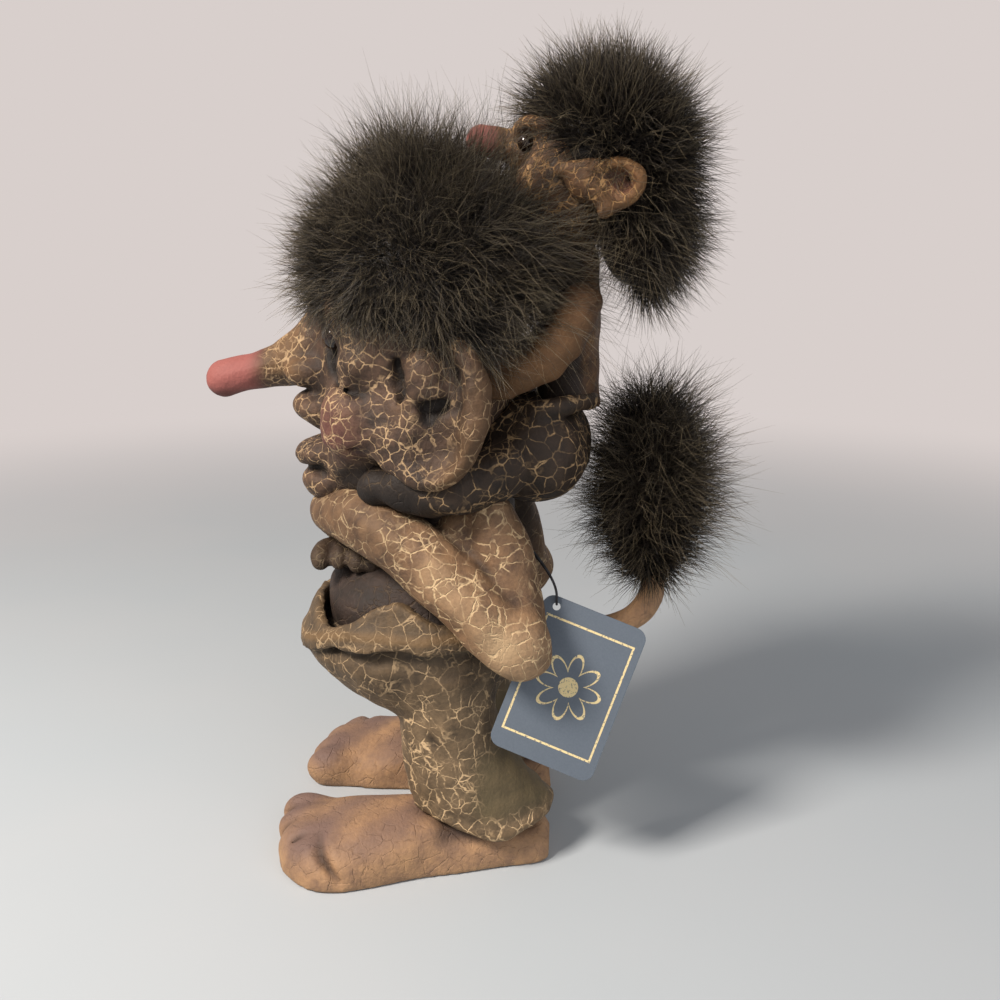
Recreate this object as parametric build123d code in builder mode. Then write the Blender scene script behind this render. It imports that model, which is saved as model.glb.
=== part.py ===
from build123d import *
import os
from math import cos, pi, radians, sin, tan
from typing import NamedTuple

os.makedirs("parts", exist_ok=True)

# Sizes in millimetres. The figure stands on Z = 0, faces -Y, and its left side is +X.

# Fits between the pieces
seat_gap = 0.2
swing_gap = 0.3
skin_wall = 5.0

# Feet
foot_length = 75.0
foot_width = 36.0
foot_height = 14.0
heel_back = 24.0
foot_inset = 11.0
ankle_radius = 8.0
ankle_back = 8.0
ankle_grip = 11.0
toe_groove = 2.2

# Trousers
leg_spread = 19.5
hem_height = 12.0
leg_height = 42.0
leg_half_width = 13.5
leg_half_depth = 17.0
leg_overlap = 18.5
belly_height = 28.5
belly_half_width = 34.0
belly_half_depth = 32.5
belly_forward = 13.0
hem_roll = 1.5
rim_wall = 2.8
rim_height = 15.0
flap_height = 6.5

# Torso
waist_depth = 4.0
torso_height = 46.0
torso_half_width = 29.0
torso_half_depth = 27.0

# Arms, folded across the chest
shoulder_spread = 27.0
shoulder_drop = 11.0
shoulder_radius = 9.3
elbow_out = 33.0
elbow_back = 15.5
elbow_drop = 29.0
elbow_radius = 8.1
finger_radius = 2.4
finger_pitch = 3.4
finger_length = 14.0

# Head
chin_drop = 8.5
head_height = 77.5
head_half_width = 30.0
head_half_depth = 26.5
head_forward = 12.0
nose_length = 32.7
nose_radius = 5.3
lip_radius = 4.8
cheek_radius = 12.0
ear_length = 35.0
ear_width = 21.0
ear_thickness = 14.0
ear_out = 28.5
ear_rim = 4.0
ear_hollow = 5.5
ear_lean = 0.27
eye_radius = 3.6
eye_spread = 13.0

# Fur cap, as the closed outer shape of the pile
hair_length = 10.0
hair_top = 17.0
hair_slope = 19.0

# Tail
tail_height = 52.0
tail_radius = 3.3
tail_pivot = 4.3
tail_pivot_height = 9.0
wire_radius = 0.8
tuft_height = 68.0
tuft_half_width = 15.0
tuft_half_depth = 18.5

# Child riding on the shoulders
child_seat_height = 27.0
child_seat_half_width = 22.0
child_seat_half_depth = 14.5
child_seat_back = 19.5
child_seat_sink = 6.5
child_waist_cut = 2.5
child_neck_sink = 2.0
child_torso_height = 42.0
child_torso_half_width = 12.5
child_torso_half_depth = 8.0
child_leg_radius = 6.2
child_arm_radius = 5.5
child_head_height = 38.0
child_head_radius = 16.0
child_nose_length = 13.0
child_nose_radius = 3.6
child_ear_length = 21.0
child_ear_width = 12.0
child_ear_thickness = 10.0
child_ear_out = 19.0
child_ear_lean = -0.5
child_ear_hollow = 3.2
child_ear_rim = 2.4
child_eye_radius = 2.3
child_eye_spread = 7.5
child_hair_length = 9.0
child_hair_height = 66.0

# Swing tag and its thread
tag_width = 28.5
tag_height = 42.0
tag_thickness = 0.6
tag_corner = 3.0
tag_hole_radius = 1.1
tag_hole_in = 3.7
tag_hole_down = 2.6
tag_tilt = 16.5
tag_turn = 21.0
thread_radius = 0.35
thread_stand = 1.5

# Levels and places that follow from the sizes
belly_bottom = hem_height + leg_height - leg_overlap
waist_height = belly_bottom + belly_height
torso_seat = waist_height - waist_depth
torso_top = torso_seat + torso_height
shoulder_height = torso_top - shoulder_drop
elbow_height = shoulder_height - elbow_drop
chin_height = torso_top - chin_drop
head_top = chin_height + head_height
face_front = -head_forward - head_half_depth
child_seat_bottom = torso_top - child_seat_sink
child_waist = child_seat_bottom + child_seat_height - child_waist_cut
child_neck = child_waist + child_torso_height
child_chin = child_neck - child_neck_sink
child_head_middle = child_chin + 0.5 * child_head_height
child_back = child_seat_back + child_seat_half_depth
sides = (("left", 1), ("right", -1))


class Slice(NamedTuple):
    """One level oval slice of a moulded form."""

    z: float
    y: float
    half_width: float
    half_depth: float


class Station(NamedTuple):
    """One round slice along a limb, with the limb's radius there."""

    x: float
    y: float
    z: float
    radius: float


def add_stack(slices, x=0.0, grow=0.0, mode=Mode.ADD):
    """Loft a moulded form through level oval slices, from the bottom up."""
    turns = [2 * pi * step / 12 for step in range(12)]
    sections = []
    for s in slices:
        wide = s.half_width + grow
        deep = s.half_depth + grow
        with BuildSketch(Plane((x, s.y, s.z))) as section:
            with BuildLine():
                Spline(*[(wide * cos(t), deep * sin(t)) for t in turns], periodic=True)
            make_face()
        sections.append(section.sketch)
    loft(sections, mode=mode)


def add_ovoid(centre, radii, lean=0.0, grow=0.0, mode=Mode.ADD):
    """Loft an egg-shaped form about a centre, which leans back by a share of its height."""
    x, y, z = centre
    across, deep, tall = [radius + grow for radius in radii]
    tilts = [radians(angle) for angle in (-80, -60, -35, -12, 12, 35, 60, 80)]
    slices = [Slice(z + tall * sin(t), y + lean * tall * sin(t), across * cos(t), deep * cos(t)) for t in tilts]
    add_stack(slices, x=x, mode=mode)


def add_limb(stations, grow=0.0, mode=Mode.ADD, facing=(1, 0, 0)):
    """Loft a limb with domed ends through round slices set square to its line."""
    points = [Vector(s.x, s.y, s.z) for s in stations]
    runs = [(b - a).normalized() for a, b in zip(points, points[1:])]
    lines = [runs[0]] + [(a + b).normalized() for a, b in zip(runs, runs[1:])] + [runs[-1]]
    radii = [s.radius + grow for s in stations]
    dome = [radians(angle) for angle in (78, 52, 26)]
    rings = [(points[0] - lines[0] * (radii[0] * sin(t)), lines[0], radii[0] * cos(t)) for t in dome]
    rings += list(zip(points, lines, radii))
    rings += [(points[-1] + lines[-1] * (radii[-1] * sin(t)), lines[-1], radii[-1] * cos(t)) for t in dome[::-1]]
    sections = []
    for place, line, radius in rings:
        flat = Vector(*facing) - line * line.dot(Vector(*facing))
        with BuildSketch(Plane(place, x_dir=flat, z_dir=line)) as section:
            Circle(radius)
        sections.append(section.sketch)
    loft(sections, mode=mode)


def inset(slices, wall):
    """Return the slices drawn in by a wall."""
    return [Slice(s.z, s.y, s.half_width - wall, s.half_depth - wall) for s in slices]


# Trouser legs: each swells over the calf and flares back over the heel
def leg_slices():
    """Return one trouser leg's slices as shares of its height, width and depth."""
    shares = (
        (0.00, 8.5, 0.95, 0.88),
        (0.11, 5.0, 1.03, 1.05),
        (0.29, 1.5, 1.00, 0.97),
        (0.48, -2.0, 0.96, 0.83),
        (0.72, -4.0, 1.00, 0.77),
        (1.00, -6.0, 0.98, 0.80),
    )
    return [
        Slice(hem_height + leg_height * up, y, leg_half_width * wide, leg_half_depth * deep)
        for up, y, wide, deep in shares
    ]


# Belly and seat of the trousers, with a hem and an upstanding rim at the waist
def belly_slices():
    """Return the belly's slices, round below and cut off level at the waist."""
    tilts = [radians(angle) for angle in (-80, -60, -40, -20, 0, 18)]
    round_height = belly_height / (1 + sin(tilts[-1]))
    middle = waist_height - round_height * sin(tilts[-1])
    return [
        Slice(
            middle + round_height * sin(t),
            -belly_forward,
            belly_half_width * cos(t),
            belly_half_depth * cos(t),
        )
        for t in tilts
    ]


def hem_slices():
    """Return the rolled hem that stands out round the waist."""
    steps = ((-6.0, -3.0), (-4.2, hem_roll), (-2.2, hem_roll), (0.0, -2.0))
    return [
        Slice(waist_height + up, -belly_forward, belly_half_width + out, belly_half_depth + out)
        for up, out in steps
    ]


def rim_slices():
    """Return the thin rim that stands up out of the hem and leans in."""
    steps = ((-0.35, -4.6), (0.0, -2.9), (0.4, -3.7), (1.0, -6.2))
    return [
        Slice(waist_height + rim_height * up, -belly_forward, belly_half_width + out, belly_half_depth + out)
        for up, out in steps
    ]


# Upper body, bare skin under the folded arms
def torso_slices():
    """Return the torso's slices from its seat in the waist to the neck."""
    shares = (
        (0.00, -12.0, 1.00, 1.00),
        (0.13, -11.5, 0.96, 0.97),
        (0.30, -8.0, 0.70, 0.71),
        (0.52, -4.5, 0.66, 0.63),
        (0.74, -2.5, 0.76, 0.57),
        (0.90, 0.0, 0.75, 0.49),
        (1.00, 1.0, 0.48, 0.33),
    )
    return [
        Slice(torso_seat + torso_height * up, y, torso_half_width * wide, torso_half_depth * deep)
        for up, y, wide, deep in shares
    ]


def add_torso(grow=0.0, mode=Mode.ADD):
    """Add the torso's outer form."""
    add_stack(torso_slices(), grow=grow, mode=mode)


def add_filling(grow=0.0, mode=Mode.ADD):
    """Add the foam core that runs from the belly into the chest."""
    add_stack(inset(belly_slices()[2:4] + torso_slices()[1:5], skin_wall), grow=grow, mode=mode)


# Skull, from the chin to the crown under the fur
def head_slices():
    """Return the skull's slices as shares of its height, width and depth."""
    shares = (
        (0.00, -18.0, 0.28, 0.34),
        (0.06, -11.0, 0.58, 0.66),
        (0.18, -5.0, 0.85, 0.86),
        (0.32, -1.5, 0.96, 1.00),
        (0.48, 0.0, 1.00, 1.00),
        (0.64, 1.0, 1.00, 0.99),
        (0.79, 1.5, 0.91, 0.90),
        (0.92, 2.0, 0.66, 0.67),
        (1.00, 2.5, 0.30, 0.30),
    )
    return [
        Slice(
            chin_height + head_height * up,
            y - head_forward,
            head_half_width * wide,
            head_half_depth * deep,
        )
        for up, y, wide, deep in shares
    ]


def add_skull(grow=0.0, mode=Mode.ADD):
    """Add the skull's outer form."""
    add_stack(head_slices(), grow=grow, mode=mode)


def add_ear(side, grow=0.0, mode=Mode.ADD):
    """Add one of the father's long ears, hanging beside the jaw."""
    middle = (side * ear_out, -3.5, chin_height + 0.32 * head_height)
    add_ovoid(middle, (0.5 * ear_thickness, 0.5 * ear_width, 0.5 * ear_length), ear_lean, grow, mode)


def add_ear_hollow(side):
    """Hollow out the ear, which leaves its thick rim."""
    middle = (side * (ear_out + 0.5 * ear_thickness), -4.5, chin_height + 0.33 * head_height)
    radii = (ear_hollow, 0.5 * ear_width - ear_rim, 0.5 * ear_length - ear_rim)
    add_ovoid(middle, radii, ear_lean, mode=Mode.SUBTRACT)


def add_child_ear(side, grow=0.0, mode=Mode.ADD):
    """Add one of the child's ears, which point back."""
    middle = (side * child_ear_out, child_back + 1.5, child_head_middle - 4.5)
    radii = (0.5 * child_ear_thickness, 0.5 * child_ear_length, 0.5 * child_ear_width)
    add_ovoid(middle, radii, child_ear_lean, grow, mode)


def add_child_ear_hollow(side):
    """Hollow out the child's ear."""
    middle = (side * (child_ear_out + 0.5 * child_ear_thickness), child_back + 1.5, child_head_middle - 4.5)
    radii = (child_ear_hollow, 0.5 * child_ear_length - child_ear_rim, 0.5 * child_ear_width - child_ear_rim)
    add_ovoid(middle, radii, child_ear_lean, mode=Mode.SUBTRACT)


def upper_arm(side):
    """Return the upper arm's line, from the shoulder down to the elbow."""
    return [
        Station(side * shoulder_spread, 6.0, shoulder_height, shoulder_radius),
        Station(side * (shoulder_spread + 3.5), 10.5, shoulder_height - 7.0, 0.85 * shoulder_radius),
        Station(side * elbow_out, elbow_back - 0.5, elbow_height + 4.0, 0.85 * elbow_radius),
    ]


# The left forearm lies over the right one, and each hand is tucked under the other arm
def forearm(side):
    """Return a forearm's line, from the elbow to the knuckles."""
    elbow = Station(side * elbow_out, elbow_back, elbow_height, elbow_radius)
    if side > 0:
        steps = (
            (-3.0, -12.5, 10.0, 0.95),
            (-7.5, -25.5, 20.3, 0.93),
            (-14.0, -37.5, 27.0, 0.90),
            (-22.0, -47.5, 28.5, 0.87),
            (-31.0, -53.0, 26.0, 0.88),
            (-41.0, -54.0, 23.5, 0.80),
        )
    else:
        steps = (
            (-2.5, -13.0, 8.0, 0.94),
            (-6.5, -27.0, 11.5, 0.90),
            (-14.5, -40.0, 12.5, 0.84),
            (-24.5, -47.5, 12.0, 0.80),
            (-34.0, -49.5, 12.0, 0.76),
        )
    return [elbow] + [
        Station(
            elbow.x + side * out,
            elbow.y + back,
            elbow.z + up,
            elbow_radius * share,
        )
        for out, back, up, share in steps
    ]


def add_arm(side, grow=0.0, mode=Mode.ADD):
    """Add one folded arm's outer form, without its fingers."""
    add_limb(upper_arm(side), grow=grow, mode=mode)
    add_limb(forearm(side), grow=grow, mode=mode, facing=(0, 0, 1))


def add_fingers(side, grow=0.0, mode=Mode.ADD):
    """Add the four fingers that end a hand."""
    knuckle = forearm(side)[-1]
    for finger in range(4):
        drop = (finger - 1.5) * finger_pitch
        reach = finger_length - 1.2 * abs(finger - 1)
        line = [
            Station(knuckle.x, knuckle.y, knuckle.z + drop, finger_radius),
            Station(knuckle.x - side * 0.6 * reach, knuckle.y + 0.5, knuckle.z + drop, finger_radius),
            Station(knuckle.x - side * reach, knuckle.y + 3.5, knuckle.z + drop, 0.9 * finger_radius),
        ]
        add_limb(line, grow=grow, mode=mode, facing=(0, 0, 1))


# Places of the face
nose_height = chin_height + 0.46 * head_height
mouth_height = chin_height + 0.245 * head_height
eye_height = chin_height + 0.57 * head_height
eye_y = face_front + 6.0


def nose_line():
    """Return the long nose's line, from the brow to the round tip."""
    return [
        Station(0, face_front + 8.0, nose_height + 6.0, 1.9 * nose_radius),
        Station(0, face_front, nose_height + 3.5, 1.6 * nose_radius),
        Station(0, face_front - 0.2 * nose_length, nose_height, 1.2 * nose_radius),
        Station(0, face_front - 0.5 * nose_length, nose_height - 2.0, nose_radius),
        Station(0, face_front - nose_length + nose_radius, nose_height - 3.0, nose_radius),
    ]


def brow_line():
    """Return the brow ridge over both eyes."""
    return [
        Station(-19.0, face_front + 10.0, eye_height + 8.0, 5.0),
        Station(0, face_front + 1.5, eye_height + 9.0, 5.5),
        Station(19.0, face_front + 10.0, eye_height + 8.0, 5.0),
    ]


def add_cheek(side, grow=0.0, mode=Mode.ADD):
    """Add one round cheek."""
    middle = (side * 17.5, face_front + 11.5, mouth_height + 3.0)
    add_ovoid(middle, (cheek_radius, cheek_radius, cheek_radius), grow=grow, mode=mode)


def child_leg(side):
    """Return one of the child's legs, over the shoulder to the foot on the chest."""
    return [
        Station(side * 15.0, child_seat_back - 5.0, torso_top + 5.0, child_leg_radius + 1.0),
        Station(side * (shoulder_spread - 2.0), 4.0, torso_top - 1.0, child_leg_radius),
        Station(side * shoulder_spread, -8.0, torso_top - 1.5, child_leg_radius),
        Station(side * (shoulder_spread - 2.0), -19.0, torso_top - 0.5, 0.95 * child_leg_radius),
        Station(side * (shoulder_spread - 5.0), -26.0, torso_top + 0.5, 0.85 * child_leg_radius),
    ]


def child_arm(side):
    """Return one of the child's arms, from the shoulder to the hand on the nape."""
    return [
        Station(side * 12.0, child_back - 4.0, child_waist + 25.0, child_arm_radius),
        Station(side * 16.5, child_back - 8.5, child_waist + 16.0, child_arm_radius),
        Station(side * 18.0, child_back - 15.0, child_waist + 10.0, child_arm_radius),
        Station(side * 17.0, child_back - 23.0, child_waist + 8.5, 0.95 * child_arm_radius),
    ]


def add_child_seat(grow=0.0, mode=Mode.ADD):
    """Add the child's trouser seat."""
    middle = (0, child_seat_back, child_seat_bottom + 0.5 * child_seat_height)
    radii = (child_seat_half_width, child_seat_half_depth, 0.5 * child_seat_height)
    add_ovoid(middle, radii, grow=grow, mode=mode)


def child_torso_slices():
    """Return the child's upper body from the waist to the neck."""
    shares = ((0.00, -7.0, 1.0, 1.1), (0.25, -6.5, 0.95, 1.0), (0.62, -6.0, 1.0, 0.95), (0.85, -5.0, 0.6, 0.75),
              (1.00, -5.0, 0.45, 0.55))
    return [
        Slice(
            child_waist + child_torso_height * up,
            child_back + y,
            child_torso_half_width * wide,
            child_torso_half_depth * deep,
        )
        for up, y, wide, deep in shares
    ]


def add_child_skull(grow=0.0, mode=Mode.ADD):
    """Add the child's skull, which leans forward over the father's fur."""
    shares = ((0.00, -8.0, 0.44), (0.10, -7.0, 0.72), (0.28, -6.0, 0.94), (0.50, -5.0, 1.00), (0.70, -4.5, 0.95),
              (0.89, -4.0, 0.70), (1.00, -3.5, 0.32))
    slices = [
        Slice(child_chin + child_head_height * up, child_back + y, child_head_radius * wide, child_head_radius * wide)
        for up, y, wide in shares
    ]
    add_stack(slices, grow=grow, mode=mode)


def child_nose():
    """Return the child's nose, from the face to the tip."""
    root = child_back - 5.0 - child_head_radius
    height = child_head_middle + 4.5
    return [
        Station(0, root + 4.0, height, 1.3 * child_nose_radius),
        Station(0, root - 0.4 * child_nose_length, height + 1.0, child_nose_radius),
        Station(0, root - child_nose_length + child_nose_radius, height + 1.5, child_nose_radius),
    ]


def add_child_hair(grow=0.0, mode=Mode.ADD):
    """Add the child's fur cap, longest down the back of the head."""
    reach = child_head_radius + child_hair_length
    bottom = child_head_middle + 31.0 - child_hair_height
    shares = (
        (0.00, 13.0, 0.36, 0.30),
        (0.10, 13.0, 0.60, 0.55),
        (0.30, 13.0, 0.80, 0.70),
        (0.53, 9.5, 0.88, 0.82),
        (0.73, 4.5, 0.90, 0.90),
        (0.88, 1.0, 0.74, 0.78),
        (1.00, 0.0, 0.36, 0.40),
    )
    slices = [
        Slice(bottom + child_hair_height * up, child_back + y, reach * wide, reach * deep)
        for up, y, wide, deep in shares
    ]
    add_stack(slices, grow=grow, mode=mode)


# Feet: flat soles, broad toes, and an ankle that plugs the trouser leg
for name, side in sides:
    with BuildPart() as foot:
        shares = (
            (0.00, 0.13, 0.43, 0.57),
            (0.06, 0.04, 0.54, 0.90),
            (0.28, 0.01, 0.64, 0.78),
            (0.50, 0.00, 0.82, 1.00),
            (0.72, 0.00, 1.00, 0.93),
            (0.86, 0.03, 0.93, 0.86),
            (0.955, 0.10, 0.71, 0.71),
            (1.00, 0.18, 0.51, 0.43),
        )
        for along, inner, outer, tall in shares:
            width = (outer - inner) * foot_width
            height = foot_height * tall
            middle = leg_spread - foot_inset + 0.5 * (inner + outer) * foot_width
            place = (side * middle, heel_back - foot_length * along, 0)
            with BuildSketch(Plane(place, x_dir=(1, 0, 0), z_dir=(0, -1, 0))):
                RectangleRounded(width, 2 * height, 0.7 * min(height, 0.5 * width))
        loft()
        split(bisect_by=Plane.XY, keep=Keep.TOP)
        toe_line = heel_back - foot_length
        for share in (0.28, 0.48, 0.68):
            across = side * (leg_spread - foot_inset + share * foot_width)
            back = 16.0 * share
            groove = [
                Station(across, toe_line + back - 4.0, 0.3 * foot_height, toe_groove),
                Station(across, toe_line + back + 1.0, 0.9 * foot_height, toe_groove),
                Station(across, toe_line + back + 9.0, 1.05 * foot_height, toe_groove),
            ]
            add_limb(groove, mode=Mode.SUBTRACT)
        add_stack(leg_slices(), x=side * leg_spread, grow=seat_gap, mode=Mode.SUBTRACT)
        with BuildSketch(Plane((side * leg_spread, ankle_back, 0.5 * foot_height))):
            Circle(ankle_radius)
        extrude(amount=hem_height + ankle_grip - 0.5 * foot_height)
    foot.part.label = f"{name}_foot"
    export_step(foot.part, f"parts/{name}_foot.step")

# Trousers with both legs, the waist recess, the filling's hollow and the tail's socket
tail_root = (0, belly_half_depth * 0.98 - belly_forward, tail_height)
rim_edge = waist_height + 4.0
with BuildPart() as rim:
    add_stack(rim_slices())
    add_stack(inset(rim_slices()[1:], rim_wall), mode=Mode.SUBTRACT)
    with BuildSketch(Plane.YZ):
        with BuildLine():
            flap = Spline(
                (-60.0, rim_edge),
                (-44.0, rim_edge),
                (-26.0, rim_edge + 0.4 * flap_height),
                (-15.0, rim_edge + flap_height),
                (-6.0, rim_edge),
                (4.0, rim_edge - 2.5),
                (30.0, rim_edge - 2.5),
            )
            Polyline(flap @ 1, (30.0, rim_edge + 40.0), (-60.0, rim_edge + 40.0), flap @ 0)
        make_face()
    extrude(amount=2 * belly_half_width, both=True, mode=Mode.SUBTRACT)
with BuildPart() as trousers:
    add_stack(belly_slices())
    add_stack(hem_slices())
    add(rim.part)
    for name, side in sides:
        add_stack(leg_slices(), x=side * leg_spread)
    add_filling(grow=seat_gap, mode=Mode.SUBTRACT)
    add_torso(grow=seat_gap, mode=Mode.SUBTRACT)
    for name, side in sides:
        add_limb(forearm(side), grow=seat_gap, mode=Mode.SUBTRACT, facing=(0, 0, 1))
        with BuildSketch(Plane((side * leg_spread, ankle_back, 0))):
            Circle(ankle_radius + seat_gap)
        extrude(amount=hem_height + ankle_grip, mode=Mode.SUBTRACT)
    with Locations(tail_root):
        Cylinder(tail_pivot + swing_gap, tail_pivot_height + 2 * swing_gap, mode=Mode.SUBTRACT)
trousers.part.label = "trousers"
export_step(trousers.part, "parts/trousers.step")

with BuildPart() as body_filling:
    add_filling()
body_filling.part.label = "body_filling"
export_step(body_filling.part, "parts/body_filling.step")

# Thread: it leaves the back under the child, passes the tag's hole and comes back
hole = Vector(21.8, 25.0, tail_height + 20.6)
tag_normal = Vector(cos(radians(tag_tilt)), 0, sin(radians(tag_tilt)))
tag_down = Vector(sin(radians(tag_tilt)), 0, -cos(radians(tag_tilt)))
fold = tag_down * (thread_radius + seat_gap - tag_hole_radius)
thread_points = [
    Vector(13.6, 7.6, shoulder_height - 4.7),
    Vector(14.3, 12.4, shoulder_height - 4.8),
    Vector(16.3, 18.0, shoulder_height - 8.6),
    Vector(18.2, 22.6, shoulder_height - 14.0),
    hole - tag_down * 4.5 - tag_normal * thread_stand,
    hole + fold - tag_normal * thread_stand,
    hole + fold + tag_normal * thread_stand,
    hole - tag_down * 4.5 + tag_normal * thread_stand,
    Vector(20.5, 22.6, shoulder_height - 13.0),
    Vector(18.0, 18.0, shoulder_height - 7.6),
    Vector(15.5, 12.4, shoulder_height - 3.9),
    Vector(14.4, 7.6, shoulder_height - 3.5),
]
thread_anchor = (thread_points[0] + thread_points[-1]) * 0.5
anchor_radius = (thread_points[-1] - thread_points[0]).length / 2 + thread_radius + 2 * seat_gap


def bend_radii(points):
    """Return the largest tangent arc that each corner of a route leaves room for."""
    radii = []
    for before, corner, after in zip(points, points[1:], points[2:]):
        turn = radians((corner - before).get_angle(after - corner))
        shorter = min((corner - before).length, (after - corner).length)
        radii.append(0.45 * shorter / tan(turn / 2))
    return radii


# Torso, cut to the arms and the head that it carries
with BuildPart() as torso:
    add_torso()
    add_filling(grow=seat_gap, mode=Mode.SUBTRACT)
    add_skull(grow=seat_gap, mode=Mode.SUBTRACT)
    for name, side in sides:
        add_limb(forearm(side), grow=seat_gap, mode=Mode.SUBTRACT, facing=(0, 0, 1))
    with BuildSketch(Plane(thread_anchor - Vector(0, seat_gap, 0), x_dir=(1, 0, 0), z_dir=(0, 1, 0))):
        Circle(anchor_radius)
    extrude(amount=20.0, mode=Mode.SUBTRACT)
torso.part.label = "torso"
export_step(torso.part, "parts/torso.step")

# Arms: the shoulder is cut to the torso, and four fingers end each hand
for name, side in sides:
    with BuildPart() as arm:
        add_arm(side)
        add_fingers(side)
        add_stack(torso_slices()[3:], grow=seat_gap, mode=Mode.SUBTRACT)
        if side < 0:
            add_limb(forearm(-side), grow=seat_gap, mode=Mode.SUBTRACT, facing=(0, 0, 1))
            add_fingers(-side, grow=seat_gap, mode=Mode.SUBTRACT)
    arm.part.label = f"{name}_arm"
    export_step(arm.part, f"parts/{name}_arm.step")

# Head: skull with long nose, lips, chin, cheeks, brow and hanging ears
with BuildPart() as head:
    add_skull()
    add_limb(nose_line())
    for lift, out in ((5.5, 4.0), (-5.5, 4.2)):
        corner = face_front + 5.0
        lip = [
            Station(-12.0, corner, mouth_height + lift, 0.9 * lip_radius),
            Station(0, face_front - out + 1.0, mouth_height + lift, lip_radius),
            Station(12.0, corner, mouth_height + lift, 0.9 * lip_radius),
        ]
        add_limb(lip, facing=(0, 0, 1))
    add_ovoid((0, face_front + 2.5, chin_height + 9.0), (10.0, 8.0, 6.5))
    add_limb(brow_line(), facing=(0, 0, 1))
    for name, side in sides:
        add_cheek(side)
        add_ear(side)
        add_ear_hollow(side)
        with Locations((side * eye_spread, eye_y - 4.0, eye_height)):
            Sphere(1.5 * eye_radius, mode=Mode.SUBTRACT)
        with Locations((side * eye_spread, eye_y, eye_height)):
            Sphere(eye_radius + seat_gap, mode=Mode.SUBTRACT)
        add_limb(forearm(side), grow=seat_gap, mode=Mode.SUBTRACT, facing=(0, 0, 1))
        add_fingers(side, grow=seat_gap, mode=Mode.SUBTRACT)
    add_stack(inset(head_slices()[3:8], skin_wall), grow=seat_gap, mode=Mode.SUBTRACT)
head.part.label = "head"
export_step(head.part, "parts/head.step")

with BuildPart() as head_filling:
    add_stack(inset(head_slices()[3:8], skin_wall))
    for name, side in sides:
        with Locations((side * eye_spread, eye_y, eye_height)):
            Sphere(eye_radius + 2 * seat_gap, mode=Mode.SUBTRACT)
head_filling.part.label = "head_filling"
export_step(head_filling.part, "parts/head_filling.step")

for name, side in sides:
    with BuildPart() as eye:
        with Locations((side * eye_spread, eye_y, eye_height)):
            Sphere(eye_radius)
    eye.part.label = f"{name}_eye"
    export_step(eye.part, f"parts/{name}_eye.step")

# Child: trousers, body, legs, arms, head and eyes, each cut to what it sits on
with BuildPart() as child_trousers:
    add_child_seat()
    with BuildSketch(Plane.XY.offset(child_waist)):
        Rectangle(4 * child_seat_half_width, 4 * child_seat_half_width)
    extrude(amount=child_seat_height, mode=Mode.SUBTRACT)
    add_skull(grow=seat_gap, mode=Mode.SUBTRACT)
    add_torso(grow=seat_gap, mode=Mode.SUBTRACT)
    for name, side in sides:
        add_limb(upper_arm(side), grow=seat_gap, mode=Mode.SUBTRACT)
child_trousers.part.label = "child_trousers"
export_step(child_trousers.part, "parts/child_trousers.step")

with BuildPart() as child_torso:
    add_stack(child_torso_slices())
    add_child_skull(grow=seat_gap, mode=Mode.SUBTRACT)
child_torso.part.label = "child_torso"
export_step(child_torso.part, "parts/child_torso.step")

for name, side in sides:
    with BuildPart() as leg:
        add_limb(child_leg(side))
        add_child_seat(grow=seat_gap, mode=Mode.SUBTRACT)
        add_skull(grow=seat_gap, mode=Mode.SUBTRACT)
        add_torso(grow=seat_gap, mode=Mode.SUBTRACT)
        add_cheek(side, grow=seat_gap, mode=Mode.SUBTRACT)
        add_arm(side, grow=seat_gap, mode=Mode.SUBTRACT)
        add_ear(side, grow=seat_gap, mode=Mode.SUBTRACT)
    leg.part.label = f"child_{name}_leg"
    export_step(leg.part, f"parts/child_{name}_leg.step")

for name, side in sides:
    with BuildPart() as arm:
        add_limb(child_arm(side))
        add_stack(child_torso_slices(), grow=seat_gap, mode=Mode.SUBTRACT)
        add_skull(grow=seat_gap, mode=Mode.SUBTRACT)
    arm.part.label = f"child_{name}_arm"
    export_step(arm.part, f"parts/child_{name}_arm.step")

child_eye_height = child_head_middle + 6.0
child_eye_y = child_back - 18.0
with BuildPart() as child_head:
    add_child_skull()
    add_limb(child_nose())
    for name, side in sides:
        add_child_ear(side)
        add_child_ear_hollow(side)
        with Locations((side * child_eye_spread, child_eye_y, child_eye_height)):
            Sphere(child_eye_radius + seat_gap, mode=Mode.SUBTRACT)
child_head.part.label = "child_head"
export_step(child_head.part, "parts/child_head.step")

for name, side in sides:
    with BuildPart() as eye:
        with Locations((side * child_eye_spread, child_eye_y, child_eye_height)):
            Sphere(child_eye_radius)
    eye.part.label = f"child_{name}_eye"
    export_step(eye.part, f"parts/child_{name}_eye.step")

with BuildPart() as child_hair:
    add_child_hair()
    add_child_skull(grow=seat_gap, mode=Mode.SUBTRACT)
    add_stack(child_torso_slices(), grow=seat_gap, mode=Mode.SUBTRACT)
    for name, side in sides:
        add_child_ear(side, grow=seat_gap, mode=Mode.SUBTRACT)
        add_limb(child_arm(side), grow=seat_gap, mode=Mode.SUBTRACT)
child_hair.part.label = "child_hair"
export_step(child_hair.part, "parts/child_hair.step")

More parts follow.
